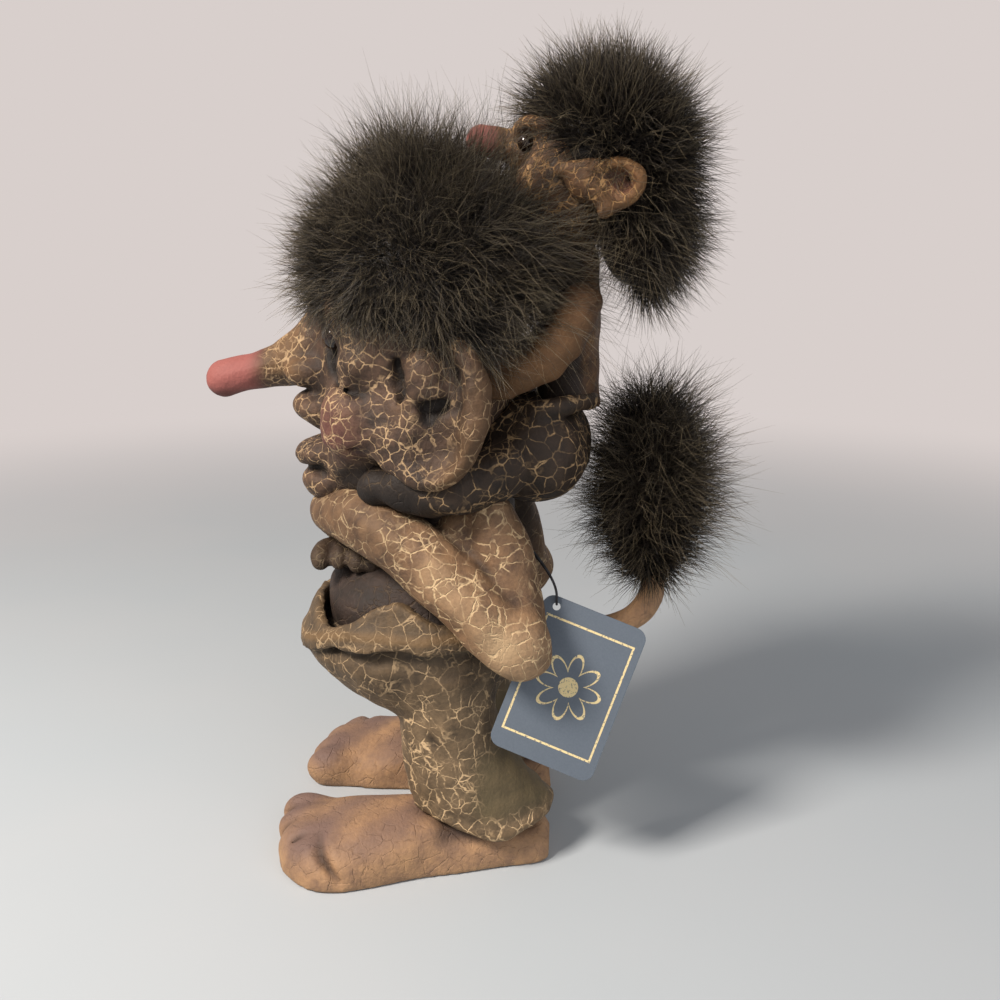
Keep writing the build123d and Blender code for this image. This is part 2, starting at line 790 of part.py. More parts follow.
# Father's fur cap: an egg of pile, cut off along the hairline and hollowed over the scalp
with BuildPart() as hair:
    crown = (0, -head_forward + 2.0, head_top - 17.0)
    reach = (head_half_width + hair_length, head_half_depth + hair_length, 17.0 + hair_top)
    add_ovoid(crown, reach)
    hairline = Plane((0, face_front, chin_height + 0.69 * head_height), z_dir=(0, sin(radians(hair_slope)),
                     cos(radians(hair_slope))))
    split(bisect_by=hairline, keep=Keep.TOP)
    add_skull(grow=seat_gap, mode=Mode.SUBTRACT)
    add_limb(nose_line(), grow=seat_gap, mode=Mode.SUBTRACT)
    add_limb(brow_line(), grow=seat_gap, mode=Mode.SUBTRACT, facing=(0, 0, 1))
    add_child_skull(grow=seat_gap, mode=Mode.SUBTRACT)
    add_limb(child_nose(), grow=seat_gap, mode=Mode.SUBTRACT)
    add_stack(child_torso_slices(), grow=seat_gap, mode=Mode.SUBTRACT)
    add_child_hair(grow=seat_gap, mode=Mode.SUBTRACT)
    for name, side in sides:
        add_ear(side, grow=seat_gap, mode=Mode.SUBTRACT)
        add_limb(child_arm(side), grow=seat_gap, mode=Mode.SUBTRACT)
hair.part.label = "hair"
export_step(hair.part, "parts/hair.step")

# Tail: an upright round root, a skin tube over a wire, and the fur tuft
root = Vector(*tail_root)
tail_points = [
    root,
    root + Vector(0, 9.0, 2.0),
    root + Vector(0, 19.0, 6.0),
    root + Vector(0, 28.0, 9.0),
    root + Vector(0, 33.0, 16.5),
    root + Vector(0, 33.0, 30.0),
]
with BuildLine() as tail_line:
    FilletPolyline(*tail_points, radius=bend_radii(tail_points))
tail_start = Plane(tail_line.line @ 0, x_dir=(1, 0, 0), z_dir=tail_line.line % 0)

with BuildPart() as tail:
    with BuildSketch(tail_start):
        Circle(tail_radius)
    sweep(path=tail_line.line)
    with Locations(tail_root):
        Cylinder(tail_pivot, tail_pivot_height)
    with BuildSketch(tail_start):
        Circle(wire_radius)
    sweep(path=tail_line.line, mode=Mode.SUBTRACT)
tail.part.label = "tail"
export_step(tail.part, "parts/tail.step")

with BuildPart() as tail_wire:
    with BuildSketch(tail_start):
        Circle(wire_radius)
    sweep(path=tail_line.line)
tail_wire.part.label = "tail_wire"
export_step(tail_wire.part, "parts/tail_wire.step")

with BuildPart() as tail_tuft:
    tuft_middle = (0, tail_points[-1].Y + 0.5, tail_points[-2].Z + 0.5 * tuft_height)
    add_ovoid(tuft_middle, (tuft_half_width, tuft_half_depth, 0.5 * tuft_height))
    with BuildSketch(tail_start):
        Circle(tail_radius + seat_gap)
    sweep(path=tail_line.line, mode=Mode.SUBTRACT)
tail_tuft.part.label = "tail_tuft"
export_step(tail_tuft.part, "parts/tail_tuft.step")

# Swing tag: a card with round corners and a hole near one corner
tag_across = Vector(0, 1, 0) * cos(radians(tag_turn)) + tag_down * sin(radians(tag_turn))
with BuildPart() as tag_card:
    with BuildSketch(Plane(hole, x_dir=tag_across, z_dir=tag_normal)):
        with Locations((0.5 * tag_width - tag_hole_in, tag_hole_down - 0.5 * tag_height)):
            RectangleRounded(tag_width, tag_height, tag_corner)
        Circle(tag_hole_radius, mode=Mode.SUBTRACT)
    extrude(amount=0.5 * tag_thickness, both=True)
tag_card.part.label = "tag_card"
export_step(tag_card.part, "parts/tag_card.step")

with BuildLine() as thread_line:
    FilletPolyline(*thread_points, radius=bend_radii(thread_points))
with BuildPart() as tag_thread:
    with BuildSketch(Plane(thread_line.line @ 0, z_dir=thread_line.line % 0)):
        Circle(thread_radius)
    sweep(path=thread_line.line)
tag_thread.part.label = "tag_thread"
export_step(tag_thread.part, "parts/tag_thread.step")

thread_length = sum(edge.length for edge in thread_line.edges())
print("thread bend radii", [round(radius, 2) for radius in bend_radii(thread_points)])
print("thread length", round(thread_length, 1))
print("thread volume over section times length", tag_thread.part.volume / (pi * thread_radius**2 * thread_length))
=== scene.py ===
"""Looks of a latex folk troll that carries its child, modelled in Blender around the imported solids.

Every form is modelled in millimetres in the part's own frame: the figure stands on Z = 0, faces -Y, and its
left side is +X. Moulded latex is modelled as clay, a field of distances that forms are pressed onto and
carved out of.
"""
import logging
import math
from collections.abc import Callable, Sequence
from dataclasses import dataclass, field
from enum import Enum

import bpy
import numpy as np
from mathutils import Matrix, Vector


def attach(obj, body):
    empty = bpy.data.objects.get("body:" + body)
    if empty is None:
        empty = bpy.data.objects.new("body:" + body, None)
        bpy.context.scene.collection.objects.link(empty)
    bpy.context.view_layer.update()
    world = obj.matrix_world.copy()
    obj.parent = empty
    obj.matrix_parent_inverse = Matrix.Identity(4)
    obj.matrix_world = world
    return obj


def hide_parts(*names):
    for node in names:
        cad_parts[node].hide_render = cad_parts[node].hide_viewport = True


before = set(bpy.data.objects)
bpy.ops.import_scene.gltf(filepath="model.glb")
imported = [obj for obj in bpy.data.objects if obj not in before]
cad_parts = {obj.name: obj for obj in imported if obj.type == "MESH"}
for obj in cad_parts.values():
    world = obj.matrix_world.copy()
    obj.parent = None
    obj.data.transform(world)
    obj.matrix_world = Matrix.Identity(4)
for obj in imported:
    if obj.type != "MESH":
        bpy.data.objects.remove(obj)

log = logging.getLogger("troll")

MM = 0.001
FAR = 40.0
SIDES = {"left": 1, "right": -1}

Point = tuple[float, float, float]
Station = tuple[float, float, float, float]
Slice = tuple[float, float, float, float]
Mask = Callable[[np.ndarray], np.ndarray]
Socket = bpy.types.NodeSocket
Value = float | str | tuple | Socket


class Body(str, Enum):
    """The rigid bodies that pieces ride on."""

    FIGURE = "figure"
    TAIL = "tail"
    TAG = "tag"


class Stroke(Enum):
    """Whether a form is pressed onto the clay or carved out of it."""

    PRESS = 1
    CARVE = -1


def linear(hex_colour: str) -> tuple[float, float, float, float]:
    """Turn an sRGB hex colour into linear light.

    Args:
        hex_colour: Six hex digits.

    Returns:
        Linear red, green and blue, and full alpha.
    """
    parts = [int(hex_colour[i:i + 2], 16) / 255 for i in (0, 2, 4)]
    red, green, blue = [c / 12.92 if c <= 0.04045 else ((c + 0.055) / 1.055) ** 2.4 for c in parts]
    return red, green, blue, 1.0


def mirrored(points: Sequence[tuple], side: int) -> list[tuple]:
    """Return points or stations with X turned to one side."""
    return [(side * p[0], *p[1:]) for p in points]


def ease(low: float, high: float, value: np.ndarray) -> np.ndarray:
    """Return 0 below low, 1 above high, and a smooth step between."""
    t = np.clip((value - low) / (high - low), 0, 1)
    return t * t * (3 - 2 * t)


def near(points: np.ndarray, place: Point, reach: float) -> np.ndarray:
    """Return how near points are to a place, 1 at it and 0 beyond the reach."""
    return 1 - ease(0, reach, np.linalg.norm(points - np.array(place), axis=1))


def soft_min(a: np.ndarray, b: np.ndarray, soft: float) -> np.ndarray:
    """Return the lesser of two fields, rounded over where they meet."""
    if soft <= 0:
        return np.minimum(a, b)
    h = np.clip(soft - np.abs(a - b), 0, None) / soft
    return np.minimum(a, b) - h * h * soft * 0.25


def smooth_path(stations: Sequence[tuple], steps: int) -> np.ndarray:
    """Return points on a smooth curve through stations, with every column eased alike.

    Args:
        stations: Rows that the curve passes through.
        steps: Points for each run between two rows.

    Returns:
        One row for each point.
    """
    rows = np.array(stations, float)
    padded = np.vstack([2 * rows[0] - rows[1], rows, 2 * rows[-1] - rows[-2]])
    out = []
    for p0, p1, p2, p3 in zip(padded, padded[1:], padded[2:], padded[3:]):
        for t in np.arange(steps) / steps:
            bend = 2 * p1 + (p2 - p0) * t
            bend = bend + (2 * p0 - 5 * p1 + 4 * p2 - p3) * t**2 + (3 * p1 - p0 - 3 * p2 + p3) * t**3
            out.append(0.5 * bend)
    return np.array(out + [rows[-1]])


def turned(angles: Point) -> np.ndarray:
    """Return the matrix that turns by degrees about X, then Y, then Z."""
    a, b, c = [math.radians(angle) for angle in angles]
    about_x = np.array([[1, 0, 0], [0, math.cos(a), -math.sin(a)], [0, math.sin(a), math.cos(a)]])
    about_y = np.array([[math.cos(b), 0, math.sin(b)], [0, 1, 0], [-math.sin(b), 0, math.cos(b)]])
    about_z = np.array([[math.cos(c), -math.sin(c), 0], [math.sin(c), math.cos(c), 0], [0, 0, 1]])
    return about_z @ about_y @ about_x


class Clay:
    """A lump of clay: distances to its surface, negative inside, on a grid of points in millimetres."""

    def __init__(self, low: Point, high: Point, cell: float = 0.8) -> None:
        """Lay out an empty grid between two corners."""
        self.low = np.array(low, float)
        self.cell = cell
        counts = np.ceil((np.array(high) - self.low) / cell).astype(int) + 1
        self.lines = [(self.low[a] + cell * np.arange(counts[a])).astype(np.float32) for a in range(3)]
        self.depth = np.full(counts, FAR, np.float32)

    @classmethod
    def beside(cls, side: int, across: tuple[float, float], low: tuple[float, float],
               high: tuple[float, float], cell: float = 0.8) -> "Clay":
        """Lay out an empty grid on one side of the figure.

        Args:
            side: 1 for the left side and -1 for the right one.
            across: The grid's ends in X, as they are on the left side.
            low: Its lower Y and Z.
            high: Its upper Y and Z.
            cell: The distance between its points.

        Returns:
            The empty clay.
        """
        first, last = sorted(side * x for x in across)
        return cls((first, *low), (last, *high), cell)

    def window(self, low: np.ndarray, high: np.ndarray) -> tuple[tuple[slice, ...], list[np.ndarray]]:
        """Return the part of the grid between two corners, and its X, Y and Z."""
        spans, lines = [], []
        for axis in range(3):
            first = max(0, int((low[axis] - self.low[axis]) / self.cell))
            last = max(first + 1, int((high[axis] - self.low[axis]) / self.cell) + 2)
            spans.append(slice(first, last))
            shape = [1, 1, 1]
            shape[axis] = -1
            lines.append(self.lines[axis][first:last].reshape(shape))
        return tuple(spans), lines

    def work(self, spans: tuple[slice, ...], form: np.ndarray, soft: float, stroke: Stroke) -> None:
        """Press a form onto the clay, or carve it out, with a soft edge."""
        if stroke is Stroke.PRESS:
            self.depth[spans] = soft_min(self.depth[spans], form, soft)
        else:
            self.depth[spans] = -soft_min(-self.depth[spans], form, soft)

    def limb(self, stations: Sequence[Station], soft: float = 2.0, stroke: Stroke = Stroke.PRESS,
             steps: int = 4) -> None:
        """Work a round limb along a smooth line through stations of place and radius."""
        path = smooth_path(stations, steps)
        reach = path[:, 3].max() + soft + 2 * self.cell
        spans, lines = self.window(path[:, :3].min(0) - reach, path[:, :3].max(0) + reach)
        form = np.full(self.depth[spans].shape, FAR, np.float32)
        start = np.array([s.start for s in spans])
        for a, b in zip(path, path[1:]):
            lower = np.minimum(a[:3], b[:3]) - reach
            upper = np.maximum(a[:3], b[:3]) + reach
            part, (x, y, z) = self.window(lower, upper)
            local = tuple(slice(s.start - o, s.stop - o) for s, o in zip(part, start))
            run = b[:3] - a[:3]
            along = ((x - a[0]) * run[0] + (y - a[1]) * run[1] + (z - a[2]) * run[2]) / max(run @ run, 1e-6)
            t = np.clip(along, 0, 1)
            gap = (x - a[0] - t * run[0]) ** 2 + (y - a[1] - t * run[1]) ** 2 + (z - a[2] - t * run[2]) ** 2
            tube = np.sqrt(gap) - (a[3] + t * (b[3] - a[3]))
            form[local] = np.minimum(form[local], tube[tuple(slice(0, n) for n in form[local].shape)])
        self.work(spans, form, soft, stroke)

    def egg(self, centre: Point, radii: Point, turn: Point = (0, 0, 0), soft: float = 2.0,
            stroke: Stroke = Stroke.PRESS) -> None:
        """Work an egg of three radii, turned by degrees about X, Y and Z."""
        reach = max(radii) + soft + 2 * self.cell
        middle = np.array(centre, float)
        spans, (x, y, z) = self.window(middle - reach, middle + reach)
        axes = turned(turn).T
        offset = (x - middle[0], y - middle[1], z - middle[2])
        local = [sum(axes[row, i] * offset[i] for i in range(3)) for row in range(3)]
        near_by = np.sqrt(sum((p / r) ** 2 for p, r in zip(local, radii)))
        steep = np.sqrt(sum((p / r**2) ** 2 for p, r in zip(local, radii)))
        self.work(spans, near_by * (near_by - 1) / np.maximum(steep, 1e-4), soft, stroke)

    def stack(self, slices: Sequence[Slice], x: float = 0.0, soft: float = 2.0, power: float = 2.0,
              axis: int = 2) -> None:
        """Press a form of oval slices, each with its level, its middle and two half sizes.

        Args:
            slices: Rows in order of level. Along Z a row's middle is its Y, along Y its X.
            x: Shift across, for slices along Z.
            soft: Rounding where the form meets the clay.
            power: Two for ovals, and more for squarer slices.
            axis: Two for slices along Z, one for slices along Y.
        """
        rows = smooth_path(slices, 6)
        levels = self.lines[axis]
        shape = [1, 1, 1]
        shape[axis] = -1
        middle, wide, deep = [np.interp(levels, rows[:, 0], rows[:, i]).reshape(shape) for i in (1, 2, 3)]
        spans, (gx, gy, gz) = self.window(self.low, self.low + self.cell * np.array(self.depth.shape))
        across, other = ((gx - x), gy - middle) if axis == 2 else (gx - middle, gz)
        oval = (np.abs(across / wide) ** power + np.abs(other / deep) ** power) ** (1 / power)
        form = (oval - 1) * np.minimum(wide, deep)
        level = gz if axis == 2 else gy
        form = np.maximum(form, np.maximum(rows[0, 0] - level, level - rows[-1, 0]))
        self.work(spans, form.astype(np.float32), soft, Stroke.PRESS)

    def flatten(self, floor: float) -> None:
        """Cut the clay off level at its base."""
        self.depth = np.maximum(self.depth, floor - self.lines[2].reshape(1, 1, -1))

    def axes(self) -> list[np.ndarray]:
        """Return the grid's X, Y and Z, each along its own axis."""
        return [line.reshape(np.roll((-1, 1, 1), axis)) for axis, line in enumerate(self.lines)]

    def knead(self, size: float, amount: float, seed: int) -> None:
        """Make the surface uneven, with lumps of a size and a depth."""
        rng = np.random.default_rng(seed)
        x, y, z = self.axes()
        for _ in range(5):
            way = rng.normal(size=3)
            way *= 2 * math.pi / (size * rng.uniform(0.7, 1.5)) / np.linalg.norm(way)
            self.depth += 0.45 * amount * np.sin(way[0] * x + way[1] * y + way[2] * z + rng.uniform(0, 6.3))

    def blurred(self, reach: float) -> np.ndarray:
        """Return the distances averaged over a cube of a half size."""
        cells = max(1, round(reach / self.cell))
        out = np.clip(self.depth, -2 * reach, 2 * reach).astype(np.float64)
        for axis in range(3):
            width = [(0, 0)] * 3
            width[axis] = (cells + 1, cells)
            total = np.cumsum(np.pad(out, width, mode="edge"), axis=axis)
            count = out.shape[axis]
            upper = np.take(total, range(2 * cells + 1, 2 * cells + 1 + count), axis=axis)
            lower = np.take(total, range(0, count), axis=axis)
            out = (upper - lower) / (2 * cells + 1)
        return out

    def sample(self, grid: np.ndarray, points: np.ndarray) -> np.ndarray:
        """Return a grid's values at points, read between its corners."""
        place = (points - self.low) / self.cell
        base = np.clip(np.floor(place).astype(int), 0, np.array(grid.shape) - 2)
        part = np.clip(place - base, 0, 1)
        value = np.zeros(len(points))
        for corner in np.ndindex(2, 2, 2):
            share = np.prod(np.where(corner, part, 1 - part), axis=1)
            i, j, k = (base + corner).T
            value += share * grid[i, j, k]
        return value

    def surface(self) -> tuple[np.ndarray, np.ndarray]:
        """Return the clay's surface as points in millimetres and as quads that face outwards."""
        depth = np.pad(self.depth, 1, constant_values=FAR)
        inside = depth < 0
        cells = tuple(n - 1 for n in depth.shape)
        corners = list(np.ndindex(2, 2, 2))
        views = {c: tuple(slice(o, o + n) for o, n in zip(c, cells)) for c in corners}
        filled = sum(inside[views[c]].astype(np.int8) for c in corners)
        active = np.nonzero((filled > 0) & (filled < 8))
        index = np.full(cells, -1, np.int64)
        index[active] = np.arange(len(active[0]))
        values = {c: depth[tuple(active[a] + c[a] for a in range(3))] for c in corners}
        total = np.zeros((len(active[0]), 3))
        crossings = np.zeros(len(active[0]))
        for a in corners:
            for axis in range(3):
                if a[axis]:
                    continue
                b = tuple(1 if i == axis else v for i, v in enumerate(a))
                crossed = (values[a] < 0) != (values[b] < 0)
                t = values[a] / np.where(crossed, values[a] - values[b], 1)
                place = np.tile(np.array(a, float), (len(t), 1))
                place[:, axis] = t
                total += np.where(crossed[:, None], place, 0)
                crossings += crossed
        points = np.stack(active, axis=1) + total / crossings[:, None] - 1
        quads = []
        for axis in range(3):
            u, v = (axis + 1) % 3, (axis + 2) % 3
            first = tuple(slice(0, -1) if i == axis else slice(1, -1) for i in range(3))
            second = tuple(slice(1, None) if i == axis else slice(1, -1) for i in range(3))
            for outward in (True, False):
                change = (inside[first] == outward) & (inside[second] == (not outward))
                spot = np.stack(np.nonzero(change), axis=1)
                spot[:, u] += 1
                spot[:, v] += 1
                step_u, step_v = np.eye(3, dtype=int)[u], np.eye(3, dtype=int)[v]
                ring = [spot - step_u - step_v, spot - step_v, spot, spot - step_u]
                quad = np.stack([index[tuple(r.T)] for r in ring], axis=1)
                quads.append(quad if outward else quad[:, ::-1])
        return self.low + points * self.cell, np.concatenate(quads)


def relaxed(points: np.ndarray, quads: np.ndarray, rounds: int) -> np.ndarray:
    """Return points eased towards their neighbours, which takes the grid's steps away."""
    ends = np.concatenate([quads[:, [i, (i + 1) % 4]] for i in range(4)])
    for _ in range(rounds):
        total = np.zeros_like(points)
        count = np.zeros(len(points))
        for a, b in ((0, 1), (1, 0)):
            np.add.at(total, ends[:, a], points[ends[:, b]])
            np.add.at(count, ends[:, a], 1)
        points = points + 0.5 * (total / count[:, None] - points)
    return points


def add_object(name: str, mesh: bpy.types.Mesh) -> bpy.types.Object:
    """Put a mesh in the scene under a name."""
    piece = bpy.data.objects.new(name, mesh)
    bpy.context.scene.collection.objects.link(piece)
    return piece


def set_field(mesh: bpy.types.Mesh, name: str, values: np.ndarray) -> None:
    """Store one number, or one vector, for each point of a mesh."""
    kind, key = ("FLOAT", "value") if values.ndim == 1 else ("FLOAT_VECTOR", "vector")
    mesh.attributes.new(name, kind, "POINT").data.foreach_set(key, values.astype(np.float32).ravel())


def clay_mesh(name: str, clay: Clay, rounds: int = 2) -> tuple[bpy.types.Mesh, np.ndarray]:
    """Turn clay into a smooth mesh in metres that knows its creases and ridges.

    Args:
        name: The mesh's name.
        clay: The modelled form.
        rounds: How often the points are eased.

    Returns:
        The mesh, and its points in millimetres.
    """
    points, quads = clay.surface()
    points = relaxed(points, quads, rounds)
    mesh = bpy.data.meshes.new(name)
    mesh.from_pydata(points * MM, [], quads.tolist())
    mesh.shade_smooth()
    set_field(mesh, "crease", np.clip(-clay.sample(clay.blurred(2.4), points) / 0.7, 0, 1))
    set_field(mesh, "ridge", np.clip(clay.sample(clay.blurred(1.6), points) / 0.5, 0, 1))
    return mesh, points


def feed(tree: bpy.types.NodeTree, node: bpy.types.Node, inputs: dict) -> None:
    """Link or set a node's inputs.

    Args:
        tree: The tree that holds the node.
        node: The node that gets the inputs.
        inputs: A socket or a plain value for each input, by name or by place.
    """
    for name, value in inputs.items():
        if isinstance(value, Socket):
            tree.links.new(value, node.inputs[name])
        else:
            node.inputs[name].default_value = value


def put(tree: bpy.types.NodeTree, kind: str, inputs: dict | None = None,
        **settings: object) -> bpy.types.Node:
    """Add a node with its settings, and link or set its inputs.

    Args:
        tree: The tree that gets the node.
        kind: The node's type.
        inputs: A socket or a plain value for each input, by name or by place.
        settings: The node's own properties.

    Returns:
        The new node.
    """
    node = tree.nodes.new(kind)
    for name, value in settings.items():
        setattr(node, name, value)
    feed(tree, node, inputs or {})
    return node


class Wiring:
    """A node tree, with short names for the nodes that are used most."""

    def __init__(self, tree: bpy.types.NodeTree) -> None:
        """Take up a tree."""
        self.tree = tree

    def place(self) -> Socket:
        """Return the place on the object, in metres."""
        return put(self.tree, "ShaderNodeTexCoord").outputs["Object"]

    def mark(self, name: str) -> Socket:
        """Return a number that is stored on the mesh."""
        return put(self.tree, "ShaderNodeAttribute", attribute_name=name).outputs["Fac"]

    def math(self, operation: str, *values: Value, clamp: bool = False) -> Socket:
        """Return what one operation makes of numbers."""
        numbers = dict(enumerate(values))
        return put(self.tree, "ShaderNodeMath", numbers, operation=operation, use_clamp=clamp).outputs[0]

    def vector(self, operation: str, *values: Value) -> Socket:
        """Return what one operation makes of vectors."""
        vectors = dict(enumerate(values))
        return put(self.tree, "ShaderNodeVectorMath", vectors, operation=operation).outputs[0]

    def scaled(self, vector: Value, scale: Value) -> Socket:
        """Return a vector times a number."""
        values = {0: vector, "Scale": scale}
        return put(self.tree, "ShaderNodeVectorMath", values, operation="SCALE").outputs[0]

    def length(self, vector: Socket) -> Socket:
        """Return how long a vector is."""
        return put(self.tree, "ShaderNodeVectorMath", {0: vector}, operation="LENGTH").outputs[1]

    def noise(self, place: Socket, size_mm: float, detail: float = 2.0, output: str = "Fac",
              roughness: float = 0.5) -> Socket:
        """Return noise with lumps of a size in millimetres."""
        values = {"Vector": place, "Scale": 1 / (size_mm * MM), "Detail": detail, "Roughness": roughness}
        return put(self.tree, "ShaderNodeTexNoise", values).outputs[output]

    def ramp(self, value: Socket, low: Value = 0.0, high: Value = 1.0, start: float = 0.0, end: float = 1.0,
             shape: str = "LINEAR") -> Socket:
        """Return a value moved from the span low to high onto the span start to end."""
        values = {0: value, 1: low, 2: high, 3: start, 4: end}
        return put(self.tree, "ShaderNodeMapRange", values, interpolation_type=shape).outputs[0]

    def mix(self, share: Socket, first: Value, second: Value) -> Socket:
        """Return a colour between two, each a socket or six hex digits."""
        colours = [linear(colour) if isinstance(colour, str) else colour for colour in (first, second)]
        values = {0: share, 6: colours[0], 7: colours[1]}
        return put(self.tree, "ShaderNodeMix", values, data_type="RGBA").outputs[2]

    def bump(self, height: Socket, strength: float, depth_mm: float) -> Socket:
        """Return the surface's direction with small relief."""
        values = {"Strength": strength, "Distance": depth_mm * MM, "Height": height}
        return put(self.tree, "ShaderNodeBump", values).outputs[0]


def new_material(name: str) -> tuple[bpy.types.Material, Wiring, bpy.types.Node]:
    """Return a new material, its wiring and its surface shader."""
    material = bpy.data.materials.new(name)
    material.use_nodes = True
    return material, Wiring(material.node_tree), material.node_tree.nodes["Principled BSDF"]


@dataclass(frozen=True)
class LatexPaint:
    """Moulded natural rubber latex, painted in thin coats that crack as they dry over the pale rubber."""

    name: str
    coat: str
    shade: str
    worn: str
    crack: str = "cdb08a"
    dark: str = "17100b"
    blush: str = "b9675c"
    cell_mm: float = 5.0
    line_mm: float = 0.36
    worn_share: float = 0.6
    crack_share: float = 0.9

    def cracks(self, wires: Wiring, place: Socket) -> Socket:
        """Return where the coat is cracked, in a coarse net and a fine one that opens in patches."""
        warped = place
        for size, amount in ((1.8 * self.cell_mm, 0.5 * self.cell_mm), (1.4, 0.9)):
            shift = wires.vector("SUBTRACT", wires.noise(place, size, output="Color"), (0.5,) * 3)
            warped = wires.vector("MULTIPLY_ADD", shift, (amount * MM,) * 3, warped)
        patch = wires.noise(place, 9.0, 4.0)
        flake = wires.noise(place, 2.6)
        broken = wires.ramp(flake, 0.38, 0.52, 0.12)
        lines = []
        for size, low, high, least, most in ((1.0, 0.36, 0.5, 0.2, 1.0), (0.56, 0.52, 0.64, 0.0, 0.6)):
            cell = size * self.cell_mm
            half = 0.5 * self.line_mm / cell
            net = put(wires.tree, "ShaderNodeTexVoronoi", {"Vector": warped, "Scale": 1 / (cell * MM)},
                      feature="DISTANCE_TO_EDGE")
            width = wires.ramp(flake, 0.3, 0.75, 0.7 * half, 2.0 * half)
            line = wires.ramp(net.outputs["Distance"], 0.2 * half, width, 1.0, 0.0, "SMOOTHSTEP")
            line = wires.math("MULTIPLY", line, wires.ramp(patch, low, high, least, most))
            lines.append(wires.math("MULTIPLY", line, broken))
        painted = wires.math("SUBTRACT", 1.0, wires.mark("bare"))
        return wires.math("MULTIPLY", wires.math("MAXIMUM", *lines), painted)

    def material(self) -> bpy.types.Material:
        """Build the paint: mottled coats, a net of pale cracks, dark creases, worn ridges and painted shade.
        """
        material, wires, shader = new_material(self.name)
        place = wires.place()
        crack = self.cracks(wires, place)
        blotch = wires.ramp(wires.noise(place, 6.0, 6.0, roughness=0.7), 0.34, 0.64)
        rubbed = wires.math("MULTIPLY", wires.mark("ridge"), blotch)
        rubbed = wires.math("MULTIPLY_ADD", rubbed, 0.6 * self.worn_share, wires.mark("worn"), clamp=True)
        coats = (
            (rubbed, self.worn),
            (wires.mark("blush"), self.blush),
            (wires.math("MULTIPLY", crack, self.crack_share), self.crack),
            (wires.mark("crease"), self.dark),
            # Painted shade: the dark colour laid where shade falls, under and behind other parts.
            (wires.mark("painted_shade"), self.dark),
        )
        colour = wires.mix(blotch, self.shade, self.coat)
        for share, hex_colour in coats:
            colour = wires.mix(share, colour, hex_colour)
        height = wires.math("MULTIPLY_ADD", crack, -0.8, wires.noise(place, 0.9, 3.0))
        feed(wires.tree, shader, {
            "Base Color": colour,
            "Normal": wires.bump(height, 0.7, 0.35),
            "Roughness": 0.68,
            "Specular IOR Level": 0.35,
        })
        return material


@dataclass(frozen=True)
class FurFibre:
    """Acrylic fake fur: fine dark fibres with paler tips, drawn thicker than real ones so that they show."""

    name: str = "acrylic_fur"
    root: str = "090706"
    tip: str = "272019"
    pale: str = "85785f"

    def material(self) -> bpy.types.Material:
        """Build the fibre, dark at the root and paler at the tip, with some pale fibres among the dark."""
        material, wires, shader = new_material(self.name)
        tip = wires.mix(wires.ramp(wires.mark("tint"), 0.6), self.tip, self.pale)
        feed(wires.tree, shader, {
            "Base Color": wires.mix(wires.ramp(wires.mark("along"), 0.25), self.root, tip),
            "Roughness": 0.48,
            "Specular IOR Level": 0.45,
        })
        return material


